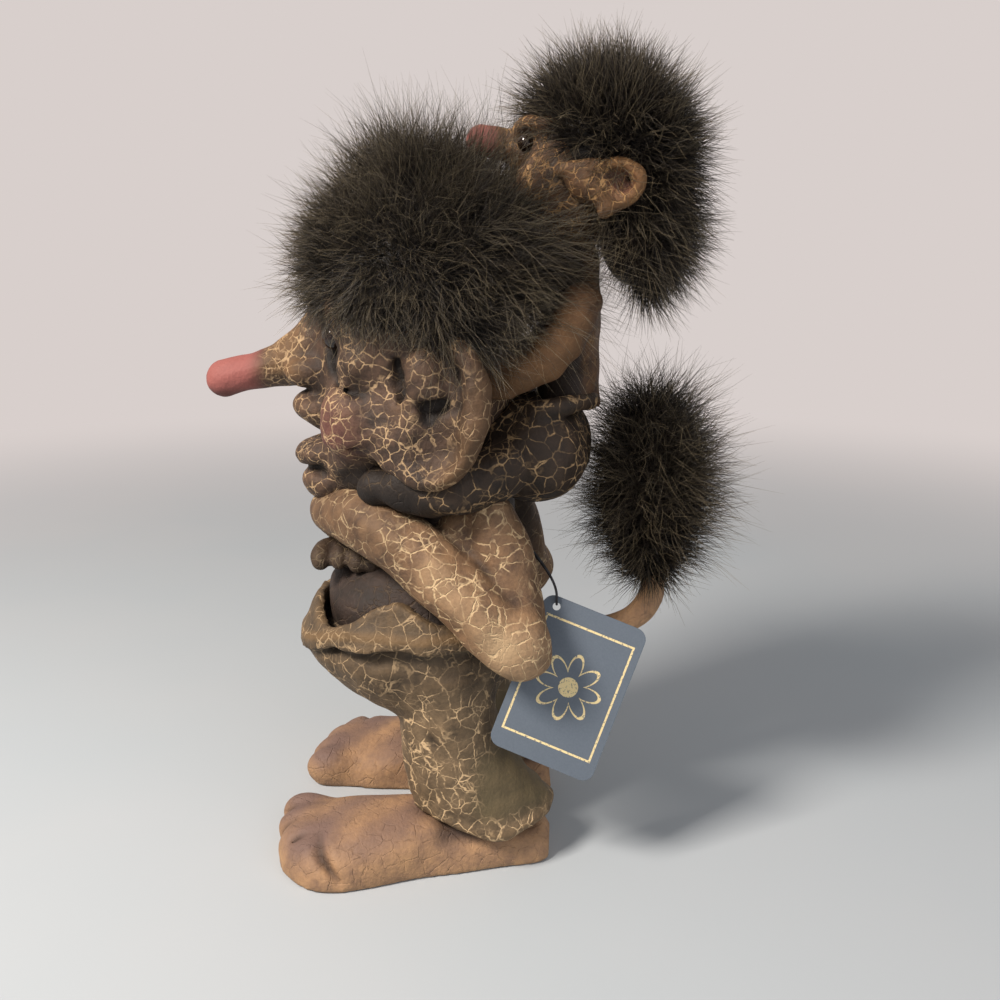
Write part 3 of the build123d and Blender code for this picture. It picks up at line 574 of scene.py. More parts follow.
def fur_tree() -> bpy.types.NodeTree:
    """Build the tree that grows a pile of bent, tapered fibres on a mesh.

    Returns:
        A tree whose inputs set the fibres' density, length, thickness, bend and seed.
    """
    tree = bpy.data.node_groups.new("fur_pile", "GeometryNodeTree")
    wires = Wiring(tree)
    inputs = (
        ("Geometry", "NodeSocketGeometry"),
        ("Density", "NodeSocketFloat"),
        ("Length", "NodeSocketFloat"),
        ("Thickness", "NodeSocketFloat"),
        ("Frizz", "NodeSocketFloat"),
        ("Curl", "NodeSocketFloat"),
        ("Droop", "NodeSocketFloat"),
        ("Stray", "NodeSocketFloat"),
        ("Pale", "NodeSocketFloat"),
        ("Seed", "NodeSocketInt"),
        ("Material", "NodeSocketMaterial"),
    )
    for name, kind in inputs:
        tree.interface.new_socket(name, in_out="INPUT", socket_type=kind)
    tree.interface.new_socket("Geometry", in_out="OUTPUT", socket_type="NodeSocketGeometry")
    given = put(tree, "NodeGroupInput").outputs
    seed = given["Seed"]

    def stored(name: str, kind: str) -> Socket:
        """Return a number or vector that is stored on the points."""
        values = {"Name": name}
        return put(tree, "GeometryNodeInputNamedAttribute", values, data_type=kind).outputs["Attribute"]

    def store(geometry: Socket, name: str, value: Socket, kind: str) -> Socket:
        """Store a number or vector on points, and return them."""
        values = {"Geometry": geometry, "Name": name, "Value": value}
        return put(tree, "GeometryNodeStoreNamedAttribute", values, data_type=kind, domain="POINT").outputs[0]

    def any_way(own_seed: Socket) -> Socket:
        """Return a random vector for each fibre."""
        values = {0: (-1.0,) * 3, 1: (1.0,) * 3, "Seed": own_seed}
        return put(tree, "FunctionNodeRandomValue", values, data_type="FLOAT_VECTOR").outputs[0]

    def any_share(low: Value, high: Value) -> Socket:
        """Return a random number for each fibre."""
        values = {2: low, 3: high, "Seed": seed}
        return put(tree, "FunctionNodeRandomValue", values, data_type="FLOAT").outputs[1]

    roots = put(tree, "GeometryNodeDistributePointsOnFaces",
                {"Mesh": given["Geometry"], "Density": given["Density"], "Seed": seed})
    way = wires.vector("ADD", stored("comb", "FLOAT_VECTOR"), wires.scaled(any_way(seed), given["Stray"]))
    turn = put(tree, "FunctionNodeAlignRotationToVector", {"Vector": way}, axis="Z").outputs[0]
    reach = wires.math("MULTIPLY", given["Length"], any_share(0.55, 1.1))
    reach = wires.math("MULTIPLY", reach, stored("grow", "FLOAT"))
    curl = wires.scaled(any_way(wires.math("ADD", seed, 101.0)), given["Curl"])
    points = store(roots.outputs["Points"], "reach", reach, "FLOAT")
    points = store(points, "tint", any_share(given["Pale"], 1.0), "FLOAT")
    points = store(points, "curl", curl, "FLOAT_VECTOR")
    line = put(tree, "GeometryNodeCurvePrimitiveLine", {"End": (0.0, 0.0, 1.0)}).outputs[0]
    line = put(tree, "GeometryNodeResampleCurve", {"Curve": line, "Count": 4}).outputs[0]
    fibres = put(tree, "GeometryNodeInstanceOnPoints",
                 {"Points": points, "Instance": line, "Rotation": turn, "Scale": reach}).outputs[0]
    fibres = put(tree, "GeometryNodeRealizeInstances", {"Geometry": fibres}).outputs[0]
    along = put(tree, "GeometryNodeSplineParameter").outputs["Factor"]
    bend = wires.math("MULTIPLY", wires.math("POWER", along, 1.7), stored("reach", "FLOAT"))
    spot = put(tree, "GeometryNodeInputPosition").outputs[0]
    waves = wires.vector("SUBTRACT", wires.noise(spot, 9.0, 1.0, "Color"), (0.5,) * 3)
    waves = wires.scaled(waves, given["Frizz"])
    sway = wires.vector("ADD", waves, wires.scaled((0.0, 0.0, -1.0), given["Droop"]))
    sway = wires.vector("ADD", sway, stored("curl", "FLOAT_VECTOR"))
    offset = wires.scaled(sway, bend)
    fibres = put(tree, "GeometryNodeSetPosition", {"Geometry": fibres, "Offset": offset}).outputs[0]
    fibres = store(fibres, "along", along, "FLOAT")
    thick = wires.math("MULTIPLY", wires.ramp(along, 0.2, 1.0, 1.0, 0.12), given["Thickness"])
    half = wires.math("MULTIPLY", thick, 0.5)
    ring = put(tree, "GeometryNodeCurvePrimitiveCircle", {"Resolution": 3}).outputs[0]
    pile = put(tree, "GeometryNodeCurveToMesh",
               {"Curve": fibres, "Profile Curve": ring, "Scale": half, "Fill Caps": True}).outputs[0]
    pile = put(tree, "GeometryNodeSetShadeSmooth", {"Geometry": pile}).outputs[0]
    pile = put(tree, "GeometryNodeRealizeInstances", {"Geometry": pile}).outputs[0]
    pile = put(tree, "GeometryNodeSetMaterial", {"Geometry": pile, "Material": given["Material"]}).outputs[0]
    put(tree, "NodeGroupOutput", {"Geometry": pile})
    return tree


@dataclass
class Groom:
    """How one pile of fur grows. Length and thickness are in millimetres."""

    count: int
    length: float
    thickness: float
    frizz: float
    curl: float
    droop: float
    stray: float
    pale: float
    seed: int


@dataclass
class Workshop:
    """Finishes and tools that every sub-assembly shares."""

    paints: dict[str, bpy.types.Material] = field(default_factory=dict)
    fur: bpy.types.NodeTree | None = None

    def open(self) -> None:
        """Mix the paints and build the fur tree."""
        for paint in PAINTS:
            self.paints[paint.name] = paint.material()
        self.paints["fur"] = FurFibre().material()
        self.fur = fur_tree()

    def dress(self, name: str, clay: Clay, paint: str, body: Body, nodes: Sequence[str],
              masks: dict[str, Mask] | None = None) -> bpy.types.Object:
        """Turn clay into a painted piece that stands for its solids.

        Args:
            name: The piece's name.
            clay: Its form.
            paint: The name of its paint.
            body: The body that it rides on.
            nodes: The solids that it stands for.
            masks: Painted marks, each a number for every point.

        Returns:
            The piece.
        """
        mesh, points = clay_mesh(name, clay)
        for mark in ("blush", "bare", "painted_shade", "worn"):
            maker = (masks or {}).get(mark)
            set_field(mesh, mark, maker(points) if maker else np.zeros(len(points)))
        mesh.materials.append(self.paints[paint])
        piece = add_object(name, mesh)
        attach(piece, body.value)
        if nodes:
            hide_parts(*nodes)
        log.info("%s: %d faces", name, len(mesh.polygons))
        return piece

    def grow(self, name: str, scalp: bpy.types.Mesh, groom: Groom, body: Body) -> bpy.types.Object:
        """Grow one pile of fur on a scalp that holds its comb and grow fields.

        Args:
            name: The piece's name.
            scalp: The mesh that the fibres stand on.
            groom: Their number, size and bend.
            body: The body that they ride on.

        Returns:
            The pile as a plain mesh.
        """
        base = add_object(name + "_base", scalp)
        area = sum(face.area for face in scalp.polygons)
        values = {
            "Density": groom.count / area,
            "Length": groom.length * MM,
            "Thickness": groom.thickness * MM,
            "Frizz": groom.frizz,
            "Curl": groom.curl,
            "Droop": groom.droop,
            "Stray": groom.stray,
            "Pale": groom.pale,
            "Seed": groom.seed,
            "Material": self.paints["fur"],
        }
        pile = base.modifiers.new("pile", "NODES")
        pile.node_group = self.fur
        for item in self.fur.interface.items_tree:
            if item.item_type == "SOCKET" and item.name in values:
                pile[item.identifier] = values[item.name]
        grown = bpy.data.meshes.new_from_object(base.evaluated_get(bpy.context.evaluated_depsgraph_get()))
        bpy.data.objects.remove(base)
        grown.name = name
        piece = add_object(name, grown)
        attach(piece, body.value)
        log.info("%s: %d faces", name, len(grown.polygons))
        return piece


PAINTS = (
    LatexPaint("face_latex", coat="584335", shade="2b211b", worn="7c5c38", crack="bc9e78", blush="935650",
               cell_mm=3.3, line_mm=0.33),
    LatexPaint("arm_latex", coat="86674a", shade="574232", worn="bda07b", crack="d0b48b", cell_mm=3.9),
    LatexPaint("trouser_latex", coat="746149", shade="4c3f2f", worn="94744c", crack="cfb188", blush="5c5239",
               cell_mm=4.1),
    LatexPaint("foot_latex", coat="ac8763", shade="846852", worn="c09a70", crack="6f543d", blush="755e54",
               dark="2c201b", crack_share=0.0),
    # The torso's near-black coat is painted shade, for the body in the shadow behind the folded arms.
    LatexPaint("shaded_torso_latex", coat="332721", shade="211a15", worn="4b3a2d", crack="6b5842", crack_share=0.3),
    LatexPaint("child_latex", coat="5d432d", shade="36271c", worn="7d5a36", crack="b08a5c", blush="84504a",
               cell_mm=2.6, line_mm=0.3),
    LatexPaint("child_trouser_latex", coat="33271d", shade="1d150e", worn="54402a", crack="b3946c",
               cell_mm=4.2),
)


@dataclass
class Trousers:
    """Trousers with the belly, the wavy rim at the waist and both legs."""

    belly: Sequence[Slice] = (
        (36.0, -5.0, 8.0, 8.0),
        (40.0, -9.0, 18.5, 16.0),
        (43.2, -12.0, 24.5, 22.6),
        (49.5, -12.6, 30.5, 28.2),
        (56.0, -13.0, 33.5, 32.4),
        (60.0, -12.0, 33.5, 31.0),
        (65.0, -10.0, 32.5, 27.0),
    )
    leg: Sequence[Slice] = (
        (11.4, 7.0, 12.4, 16.0),
        (13.6, 5.6, 13.4, 17.6),
        (17.5, 3.8, 13.9, 18.9),
        (24.0, 1.0, 13.5, 17.0),
        (32.0, -2.0, 13.0, 14.4),
        (42.0, -4.0, 13.5, 13.2),
        (54.0, -6.0, 13.2, 13.6),
    )
    leg_spread: float = 19.5
    cuff: Sequence[Point] = (
        (6.0, -11.5, 17.0),
        (11.6, -3.0, 14.4),
        (13.2, 6.0, 12.2),
        (11.0, 15.0, 12.4),
        (5.0, 21.4, 14.0),
        (-4.0, 22.4, 14.4),
        (-10.0, 17.0, 13.6),
    )
    cuff_radius: float = 1.6
    notch: Sequence[Station] = ((9.5, -11.5, 11.0, 1.6), (10.6, -10.0, 15.0, 1.3), (11.6, -8.5, 20.0, 0.6))
    fold: Sequence[Station] = ((12.5, -10.0, 40.0, 0.9), (14.5, -2.0, 34.5, 1.1), (13.5, 8.0, 31.0, 0.9))
    hem_front: float = 59.2
    hem_rise: float = 7.6
    hem_drop: float = 2.0
    rim_half_width: float = 33.3
    rim_half_depth: float = 32.0
    rim_middle: float = -13.0
    rim_wall: float = 3.0
    rim_level: float = 69.6
    rim_drop: float = 3.0
    flap_rise: float = 6.6
    flap_turn: float = 1.45
    dip_depth: float = 2.8
    dip_turn: float = 0.75
    roll_spread: float = 1.02

    def hem_level(self, angle: np.ndarray) -> np.ndarray:
        """Return the hem's height at angles from the front, where the belly pushes it down."""
        turn = np.abs(angle)
        return self.hem_front + self.hem_rise * ease(0.2, 1.3, turn) - self.hem_drop * ease(1.7, 2.8, turn)

    def rim_top(self, angle: np.ndarray) -> np.ndarray:
        """Return the rim's height at angles from the front, with a flap at the left side."""
        turn = np.abs(angle)
        flap = self.flap_rise * (1 - ease(0.0, 0.42, np.abs(angle - self.flap_turn)))
        dip = self.dip_depth * (1 - ease(0.0, 0.55, np.abs(turn - self.dip_turn)))
        return self.rim_level - dip - self.rim_drop * ease(1.75, 2.4, turn) + flap + 0.5 * np.sin(7 * angle)

    def add_rim(self, clay: Clay) -> None:
        """Press on the thin upstanding rim and the roll below it."""
        spans, (x, y, z) = clay.window(np.array([-38.0, -50.0, 52.0]), np.array([38.0, 24.0, 79.0]))
        angle = np.arctan2(x, self.rim_middle - y)
        hem = self.hem_level(angle)
        flare = 1.0 - 0.0115 * (z - hem) + 0.008 * np.sin(5 * angle + 0.8)
        across = x / (self.rim_half_width * flare)
        along = (y - self.rim_middle) / (self.rim_half_depth * flare)
        wall = np.abs((np.hypot(across, along) - 1) * self.rim_half_depth) - 0.5 * self.rim_wall
        form = np.maximum(np.maximum(wall, z - self.rim_top(angle)), hem - 3.0 - z)
        clay.work(spans, form.astype(np.float32), 2.0, Stroke.PRESS)
        roll = [
            (
                self.roll_spread * self.rim_half_width * math.sin(t),
                self.rim_middle - self.roll_spread * self.rim_half_depth * math.cos(t),
                float(self.hem_level(np.array(t))) + 0.5 * math.sin(6 * t + 0.5),
                1.3 + 0.3 * math.sin(9 * t),
            )
            for t in np.linspace(-math.pi, math.pi, 41)
        ]
        clay.limb(roll, soft=1.8, steps=2)

    def build(self, shop: Workshop) -> None:
        """Model and paint the trousers."""
        clay = Clay((-39, -51, 5), (39, 28, 78), 0.85)
        clay.stack(self.belly, soft=0)
        for side in SIDES.values():
            clay.stack(self.leg, x=side * self.leg_spread, soft=5.0)
            cuff = [(side * (self.leg_spread + x), y, z, self.cuff_radius) for x, y, z in self.cuff]
            clay.limb(cuff, soft=2.0)
            for groove in (self.notch, self.fold):
                line = [(side * (self.leg_spread + x), y, z, r) for x, y, z, r in groove]
                clay.limb(line, 2.0, Stroke.CARVE)
        self.add_rim(clay)
        clay.knead(17.0, 0.5, 3)
        clay.knead(7.0, 0.16, 4)

        def smooth_rear(p: np.ndarray) -> np.ndarray:
            """Return where the paint is smooth, at the rear of the legs."""
            return ease(0, 8, p[:, 1]) * ease(38, 30, p[:, 2]) * ease(14, 19, p[:, 2])

        def edge_light(p: np.ndarray) -> np.ndarray:
            """Return where the hem's edge is worn pale."""
            angle = np.arctan2(p[:, 0], self.rim_middle - p[:, 1])
            outer = ease(28.0, 31.0, np.hypot(p[:, 0], p[:, 1] - self.rim_middle))
            return 0.5 * outer * (1 - ease(0.4, 1.9, np.abs(p[:, 2] - self.hem_level(angle) - 0.6)))

        masks = {
            "bare": smooth_rear,
            "worn": edge_light,
            "blush": lambda p: 0.7 * smooth_rear(p),
            # Painted shade: the trousers darken towards the waist, in the shade under the folded arms.
            "painted_shade": lambda p: 0.4 * ease(44, 58, p[:, 2]),
        }
        shop.dress("trousers_latex", clay, "trouser_latex", Body.FIGURE, ["trousers"], masks)


@dataclass
class Foot:
    """One broad foot with a flat sole and four toes."""

    side: int
    name: str
    outline: Sequence[Slice] = (
        (24.0, 18.8, 7.0, 5.0),
        (20.0, 18.9, 9.4, 8.6),
        (8.0, 20.0, 11.2, 10.0),
        (0.0, 21.5, 12.0, 12.4),
        (-13.5, 23.3, 14.8, 14.0),
        (-30.0, 26.0, 17.6, 12.8),
        (-40.5, 25.6, 16.6, 11.4),
        (-47.6, 23.6, 12.4, 8.8),
        (-50.6, 21.4, 7.0, 5.0),
    )
    toes: Sequence[Point] = ((13.6, -45.5, 5.6), (21.0, -45.2, 5.2), (29.0, -42.2, 5.0), (36.8, -36.6, 5.0))
    crease: Sequence[Station] = ((43.5, -31.0, 3.5, 0.6), (40.0, -36.0, 8.5, 1.0), (34.0, -38.0, 12.4, 0.8))
    ankle: Sequence[Station] = ((20.0, 4.0, 11.0, 9.0), (19.5, 7.0, 22.0, 8.0))

    def build(self, shop: Workshop) -> None:
        """Model and paint the foot."""
        clay = Clay.beside(self.side, (2, 48), (-55, -4), (28, 26))
        rows = [(y, self.side * x, wide, tall) for y, x, wide, tall in reversed(self.outline)]
        clay.stack(rows, soft=0, power=2.7, axis=1)
        for x, y, tall in self.toes:
            splay = -self.side * 0.9 * (x - 16)
            clay.egg((self.side * x, y, tall - 0.6), (4.7, 7.4, 1.1 * tall), (0, 0, splay), 3.0)
        for (xa, ya, _), (xb, yb, _) in zip(self.toes, self.toes[1:]):
            x, y = self.side * 0.5 * (xa + xb), 0.5 * (ya + yb)
            groove = [(x, y - 7.5, 4.0, 0.5), (x, y - 3.0, 11.2, 0.6), (x, y + 5.0, 14.0, 0.3)]
            clay.limb(groove, 2.4, Stroke.CARVE)
        clay.limb(mirrored(self.crease, self.side), 2.4, Stroke.CARVE)
        clay.limb(mirrored(self.ankle, self.side), 4.0)
        clay.knead(15.0, 0.35, 5 + self.side)
        clay.flatten(0.0)

        def shade(p: np.ndarray) -> np.ndarray:
            """Return where the foot is darker, on top and at the toes."""
            top = 0.75 * ease(6.0, 11.5, p[:, 2]) * (0.6 + 0.4 * np.sin(0.31 * p[:, 1] + 0.23 * p[:, 0]))
            toes = 0.6 * near(p, (self.side * 36.0, -38.0, 10.0), 12.0)
            toes = toes + 0.5 * ease(-38.0, -46.0, p[:, 1]) * ease(3.0, 8.0, p[:, 2])
            return np.clip(top + toes, 0, 1)

        def painted_shade(p: np.ndarray) -> np.ndarray:
            """Return where the foot gets painted shade, under the trousers' cuff."""
            cuff_line = ease(-9.0, -4.0, p[:, 1]) * ease(7.0, 10.5, p[:, 2])
            return np.clip(0.6 * near(p, (self.side * 24.0, -8.0, 14.5), 9.0) + 0.8 * cuff_line, 0, 1)

        shop.dress(f"{self.name}_foot_latex", clay, "foot_latex", Body.FIGURE,
                   [f"{self.name}_foot"], {"blush": shade, "painted_shade": painted_shade})


@dataclass
class Torso:
    """The bare upper body behind the folded arms."""

    slices: Sequence[Slice] = (
        (60.0, -12.0, 29.0, 27.0),
        (66.0, -12.0, 27.4, 27.2),
        (72.0, -12.4, 25.4, 26.8),
        (76.5, -11.0, 22.6, 25.0),
        (83.9, -4.5, 20.0, 17.6),
        (94.0, -2.5, 22.0, 15.4),
        (101.4, 0.0, 21.8, 13.2),
        (106.0, 1.0, 13.9, 8.9),
    )

    def build(self, shop: Workshop) -> None:
        """Model the torso, and give it the near-black paint that stands for its shade behind the arms."""
        clay = Clay((-33, -43, 57), (33, 20, 110), 1.0)
        clay.stack(self.slices, soft=0)
        clay.knead(14.0, 0.5, 9)
        shop.dress("torso_latex", clay, "shaded_torso_latex", Body.FIGURE, ["torso"])


@dataclass
class Arm:
    """One folded arm with its hand."""

    side: int
    name: str
    tag_room: float = 1.6
    upper: Sequence[Station] = (
        (20.5, 7.5, 95.0, 7.4),
        (22.5, 11.3, 86.0, 7.6),
        (26.5, 13.6, 76.0, 8.0),
        (31.0, 15.0, 68.0, 8.0),
    )
    front: Sequence[Station] = ((19.5, 0.0, 93.0, 6.6), (21.5, 5.0, 84.5, 6.6), (25.5, 10.5, 76.0, 7.0))
    tendon: Sequence[Station] = ((38.4, 13.0, 66.0, 1.4), (37.4, 5.0, 74.5, 1.9), (32.6, -6.0, 85.0, 1.4))
    thumb: Sequence[Station] = ((0.0, -24.0, 80.0, 2.8), (6.5, -20.0, 80.2, 2.5), (9.5, -18.6, 80.2, 1.9))

    def forearm(self) -> list[Station]:
        """Return the forearm from the elbow to the knuckles, the left one over the right one."""
        if self.side > 0:
            return [
                (33.0, 15.5, 66.0, 8.0),
                (30.5, 4.0, 75.0, 8.5),
                (26.0, -9.0, 85.5, 8.4),
                (20.0, -21.0, 92.2, 7.9),
                (12.0, -31.0, 94.0, 7.2),
                (3.0, -36.8, 92.5, 6.8),
                (-7.5, -38.3, 89.8, 6.4),
            ]
        return [
            (-33.0, 15.5, 66.0, 8.0),
            (-30.5, 2.5, 74.0, 8.0),
            (-26.5, -11.5, 77.5, 7.4),
            (-18.5, -25.5, 79.0, 6.6),
            (-8.5, -32.0, 79.6, 6.0),
            (0.0, -32.5, 80.6, 5.2),
        ]

    def add_hand(self, clay: Clay) -> None:
        """Press on four fingers, which curl at their tips, and on the right hand the palm and thumb too."""
        if self.side > 0:
            for finger in range(4):
                z = 95.0 - 3.5 * finger
                line = [
                    (-6.0, -38.5, z, 2.5),
                    (-13.0, -39.2, z - 0.5, 2.5),
                    (-19.0, -36.8, z - 1.0, 2.4),
                    (-21.5, -32.5, z - 1.0, 2.1),
                ]
                clay.limb(line, 0.9)
            return
        clay.egg((4.5, -31.0, 81.2), (7.5, 11.5, 3.8), (0, 0, 6), 2.5)
        for finger in range(4):
            y = -39.2 + 4.9 * finger
            line = [
                (1.0, y + 1.0, 81.6, 2.8),
                (7.0, y + 0.3, 82.6, 2.8),
                (11.6, y, 82.0, 2.7),
                (13.0, y, 80.8, 2.4),
            ]
            clay.limb(line, 1.3)
        clay.limb(self.thumb, 1.0)

    def clear_tag(self, clay: Clay) -> None:
        """Carve the room that the swinging tag needs beside the elbow."""
        tag = SwingTag()
        spans, (x, y, z) = clay.window(np.array([12.0, 4.0, 52.0]), np.array([44.0, 28.0, 74.0]))
        beside = (x - tag.hole[0]) * math.cos(tag.tilt) + (z - tag.hole[2]) * math.sin(tag.tilt)
        room = np.maximum(np.maximum(beside - self.tag_room, 4.0 - y), z - 74.0)
        clay.work(spans, room.astype(np.float32), 0.8, Stroke.CARVE)

    def build(self, shop: Workshop) -> None:
        """Model and paint the arm."""
        clay = Clay.beside(self.side, (-27 if self.side > 0 else -22, 44), (-46, 52), (28, 108))
        clay.limb(self.forearm(), soft=0.0)
        for line in (self.upper, self.front):
            clay.limb(mirrored(line, self.side), 1.4)
        clay.egg((self.side * 34.0, 15.0, 66.0), (6.0, 7.2, 8.4), (25, 0, 0), 4.0)
        for lift in (2.6, -2.4):
            tendon = [(x, y, z + lift, r) for x, y, z, r in self.tendon]
            clay.limb(mirrored(tendon, self.side), 2.6)
        self.add_hand(clay)
        clay.knead(13.0, 0.4, 12 + self.side)
        clay.knead(5.0, 0.12, 14)
        if self.side > 0:
            self.clear_tag(clay)

        def rubbed(p: np.ndarray) -> np.ndarray:
            """Return where the arm is worn pale, along its outer ridge and at the elbow."""
            line = np.array([(38.0 * self.side, 12.0, 68.0), (33.0 * self.side, -6.0, 85.0)])
            run = line[1] - line[0]
            t = np.clip((p - line[0]) @ run / (run @ run), 0, 1)
            gap = np.linalg.norm(p - line[0] - t[:, None] * run, axis=1)
            elbow = 0.4 * near(p, (self.side * 40.0, 14.0, 66.0), 14.0)
            return np.clip(0.6 * (1 - ease(1.5, 6.0, gap)) * (1 - 0.5 * t) + elbow, 0, 1)

        def painted_arm_shade(p: np.ndarray) -> np.ndarray:
            """Return where the arm gets painted shade: its inner side, the upper part, the wrist and the
            right hand.
            """
            inner = ease(26, 16, self.side * p[:, 0]) * ease(-24, -12, p[:, 1])
            hand = 0.45 * ease(-4, 2, p[:, 0]) if self.side < 0 else 0
            rear = (p[:, 2] - 84.0) + 0.9 * (p[:, 1] - 3.0)
            upper_part = 0.15 * ease(0, 5, rear) * ease(37, 32, self.side * p[:, 0])
            wrist = 0.38 * ease(-6, -22, p[:, 1])
            return np.clip(0.7 * inner + hand + upper_part + wrist, 0, 1)

        shop.dress(f"{self.name}_arm_latex", clay, "arm_latex", Body.FIGURE,
                   [f"{self.name}_arm"], {"worn": rubbed, "painted_shade": painted_arm_shade})


@dataclass
class Head:
    """The father's head: long nose, lips, round cheeks, deep eye clefts and hanging ears."""

    skull: Sequence[Slice] = (
        (98.5, -29.0, 8.4, 9.0),
        (102.2, -23.0, 16.4, 17.0),
        (111.5, -17.0, 24.5, 22.0),
        (122.3, -13.5, 28.0, 25.5),
        (134.7, -12.0, 29.5, 25.8),
        (147.1, -11.0, 30.0, 26.2),
        (158.7, -10.5, 27.3, 23.9),
        (168.8, -10.0, 19.8, 17.8),
        (175.0, -9.5, 9.0, 8.0),
    )
    nose: Sequence[Station] = (
        (0, -30.0, 141.0, 9.0),
        (0, -38.0, 138.0, 8.0),
        (0, -45.0, 134.0, 6.5),
        (0, -52.0, 132.4, 5.5),
        (0, -60.0, 130.8, 5.2),
        (0, -66.2, 129.2, 5.2),
    )
    rim: Sequence[Station] = (
        (31.0, 0.5, 141.0, 2.4),
        (33.2, 4.2, 136.0, 3.1),
        (34.4, 5.4, 129.0, 3.5),
        (34.8, 4.6, 121.5, 3.6),
        (34.6, 1.4, 114.5, 3.5),
        (33.8, -3.8, 109.6, 3.3),
        (32.6, -9.0, 108.6, 3.0),
        (31.0, -12.6, 111.4, 2.6),
        (29.4, -13.6, 115.8, 1.8),
    )
    eye_cleft: Sequence[Station] = (
        (10.0, -37.0, 149.0, 2.4),
        (13.2, -34.0, 142.0, 3.3),
        (15.2, -32.2, 137.0, 2.4),
        (16.2, -31.6, 134.0, 1.0),
    )
    eye_fold: Sequence[Station] = (
        (17.4, -32.2, 133.6, 0.3),
        (20.4, -30.4, 130.2, 0.5),
        (23.6, -27.8, 128.6, 0.6),
        (27.0, -23.0, 128.8, 0.4),
    )
    laugh_line: Sequence[Station] = (
        (8.5, -42.0, 127.4, 0.9),
        (12.5, -38.6, 126.0, 1.3),
        (14.8, -35.8, 120.0, 1.3),
        (14.8, -34.8, 113.5, 1.2),
    )
    jaw: Sequence[Station] = ((15.0, -34.5, 102.0, 1.6), (21.0, -27.0, 107.0, 3.2), (26.0, -15.0, 109.5, 3.4))
    cheek_line: Sequence[Station] = (
        (23.5, -30.5, 117.5, 0.4),
        (26.2, -25.5, 114.5, 0.7),
        (27.5, -20.0, 114.5, 0.4),
    )
    ear_hole: Sequence[Station] = (
        (34.0, -9.0, 127.0, 1.3),
        (32.6, -6.2, 126.4, 2.3),
        (32.6, -3.6, 126.8, 2.0),
        (33.4, -2.4, 127.6, 1.0),
    )
    ear_drop: Sequence[Station] = (
        (32.6, -6.0, 126.0, 1.8),
        (33.2, -6.2, 122.6, 1.2),
        (33.8, -6.0, 120.6, 0.6),
    )
    ear_front: Sequence[Station] = (
        (27.5, -14.5, 137.0, 1.0),
        (28.8, -13.6, 131.5, 1.7),
        (29.6, -12.6, 127.0, 1.2),
        (30.4, -12.0, 124.6, 0.3),
    )
    ear_groove: Sequence[Station] = (
        (34.5, -3.4, 138.5, 0.8),
        (34.5, -1.6, 131.0, 1.2),
        (35.0, -1.5, 126.0, 1.2),
    )

    def add_face(self, clay: Clay) -> None:
        """Press on the nose, brow, lips and chin, and carve the mouth."""
        clay.limb(self.nose, 4.0)
        clay.limb([(0, -33.0, 151.0, 6.0), (0, -39.5, 143.0, 5.0), (0, -46.0, 136.5, 4.4)], 3.5)
        clay.limb([(-20, -29.0, 149.0, 5.0), (0, -36.0, 151.5, 5.6), (20, -29.0, 149.0, 5.0)], 4.0)
        clay.egg((0, -37.5, 121.6), (13.5, 9.8, 5.4), (-8, 0, 0), 2.2)
        clay.egg((0, -38.2, 109.9), (12.2, 9.2, 4.3), (6, 0, 0), 2.0)
        clay.egg((0, -37.0, 101.8), (11.5, 8.8, 5.4), (0, 0, 0), 2.2)
        clay.egg((0, -44.0, 115.1), (15.0, 10.5, 1.5), (-4, 0, 0), 1.2, Stroke.CARVE)
        under_lip = [(-11, -37.5, 105.6, 0.6), (0, -46.5, 105.9, 0.8), (11, -37.5, 105.6, 0.6)]
        lip_notch = [(-3, -47.5, 126.0, 0.5), (-2.0, -48.2, 121.5, 0.6), (-1.0, -46.5, 117.5, 0.5)]
        for groove, soft in ((under_lip, 2.0), (lip_notch, 1.6)):
            clay.limb(groove, soft, Stroke.CARVE)

    def add_cheek(self, clay: Clay, side: int) -> None:
        """Press on one nostril, cheek and eye bag, and carve the creases round the eye and mouth."""
        clay.egg((side * 7.4, -41.5, 131.6), (3.8, 6.4, 4.2), (0, 0, 0), 2.2)
        clay.egg((side * 19.0, -26.5, 121.0), (9.6, 9.8, 10.5), (0, 0, 0), 4.0)
        clay.egg((side * 21.5, -24.0, 136.0), (6.4, 6.6, 6.8), (0, 0, side * 15), 2.0)
        grooves = (
            (self.eye_cleft, 2.2),
            (self.eye_fold, 1.6),
            (self.laugh_line, 1.8),
            (self.jaw, 3.0),
            (self.cheek_line, 1.2),
        )
        for groove, soft in grooves:
            clay.limb(mirrored(groove, side), soft, Stroke.CARVE)

    def add_ear(self, clay: Clay, side: int) -> None:
        """Press on one hanging ear with its rim, and carve its hollows."""
        clay.egg((side * 30.0, -4.2, 122.0), (4.6, 10.5, 16.5), (-10, 0, 0), 3.0)
        clay.limb(mirrored(self.rim, side), 1.6)
        clay.egg((side * 26.0, -14.5, 117.5), (5.0, 6.5, 9.5), (0, 0, 0), 5.0)
        clay.egg((side * 37.5, -5.5, 118.0), (5.6, 7.4, 9.6), (-18, 0, 0), 1.2, Stroke.CARVE)
        clay.egg((side * 31.0, -7.6, 134.2), (4.4, 5.0, 6.6), (0, 0, 0), 1.8)
        grooves = (
            (self.ear_hole, 1.0),
            (self.ear_drop, 1.0),
            (self.ear_front, 2.6),
            (self.ear_groove, 1.6),
        )
        for groove, soft in grooves:
            clay.limb(mirrored(groove, side), soft, Stroke.CARVE)

    def build(self, shop: Workshop) -> None:
        """Model and paint the head."""
        clay = Clay((-42, -74, 92), (42, 20, 178), 0.75)
        clay.stack(self.skull, soft=0)
        self.add_face(clay)
        for side in SIDES.values():
            self.add_cheek(clay, side)
            self.add_ear(clay, side)
        clay.knead(12.0, 0.35, 20)
        clay.knead(4.6, 0.12, 21)

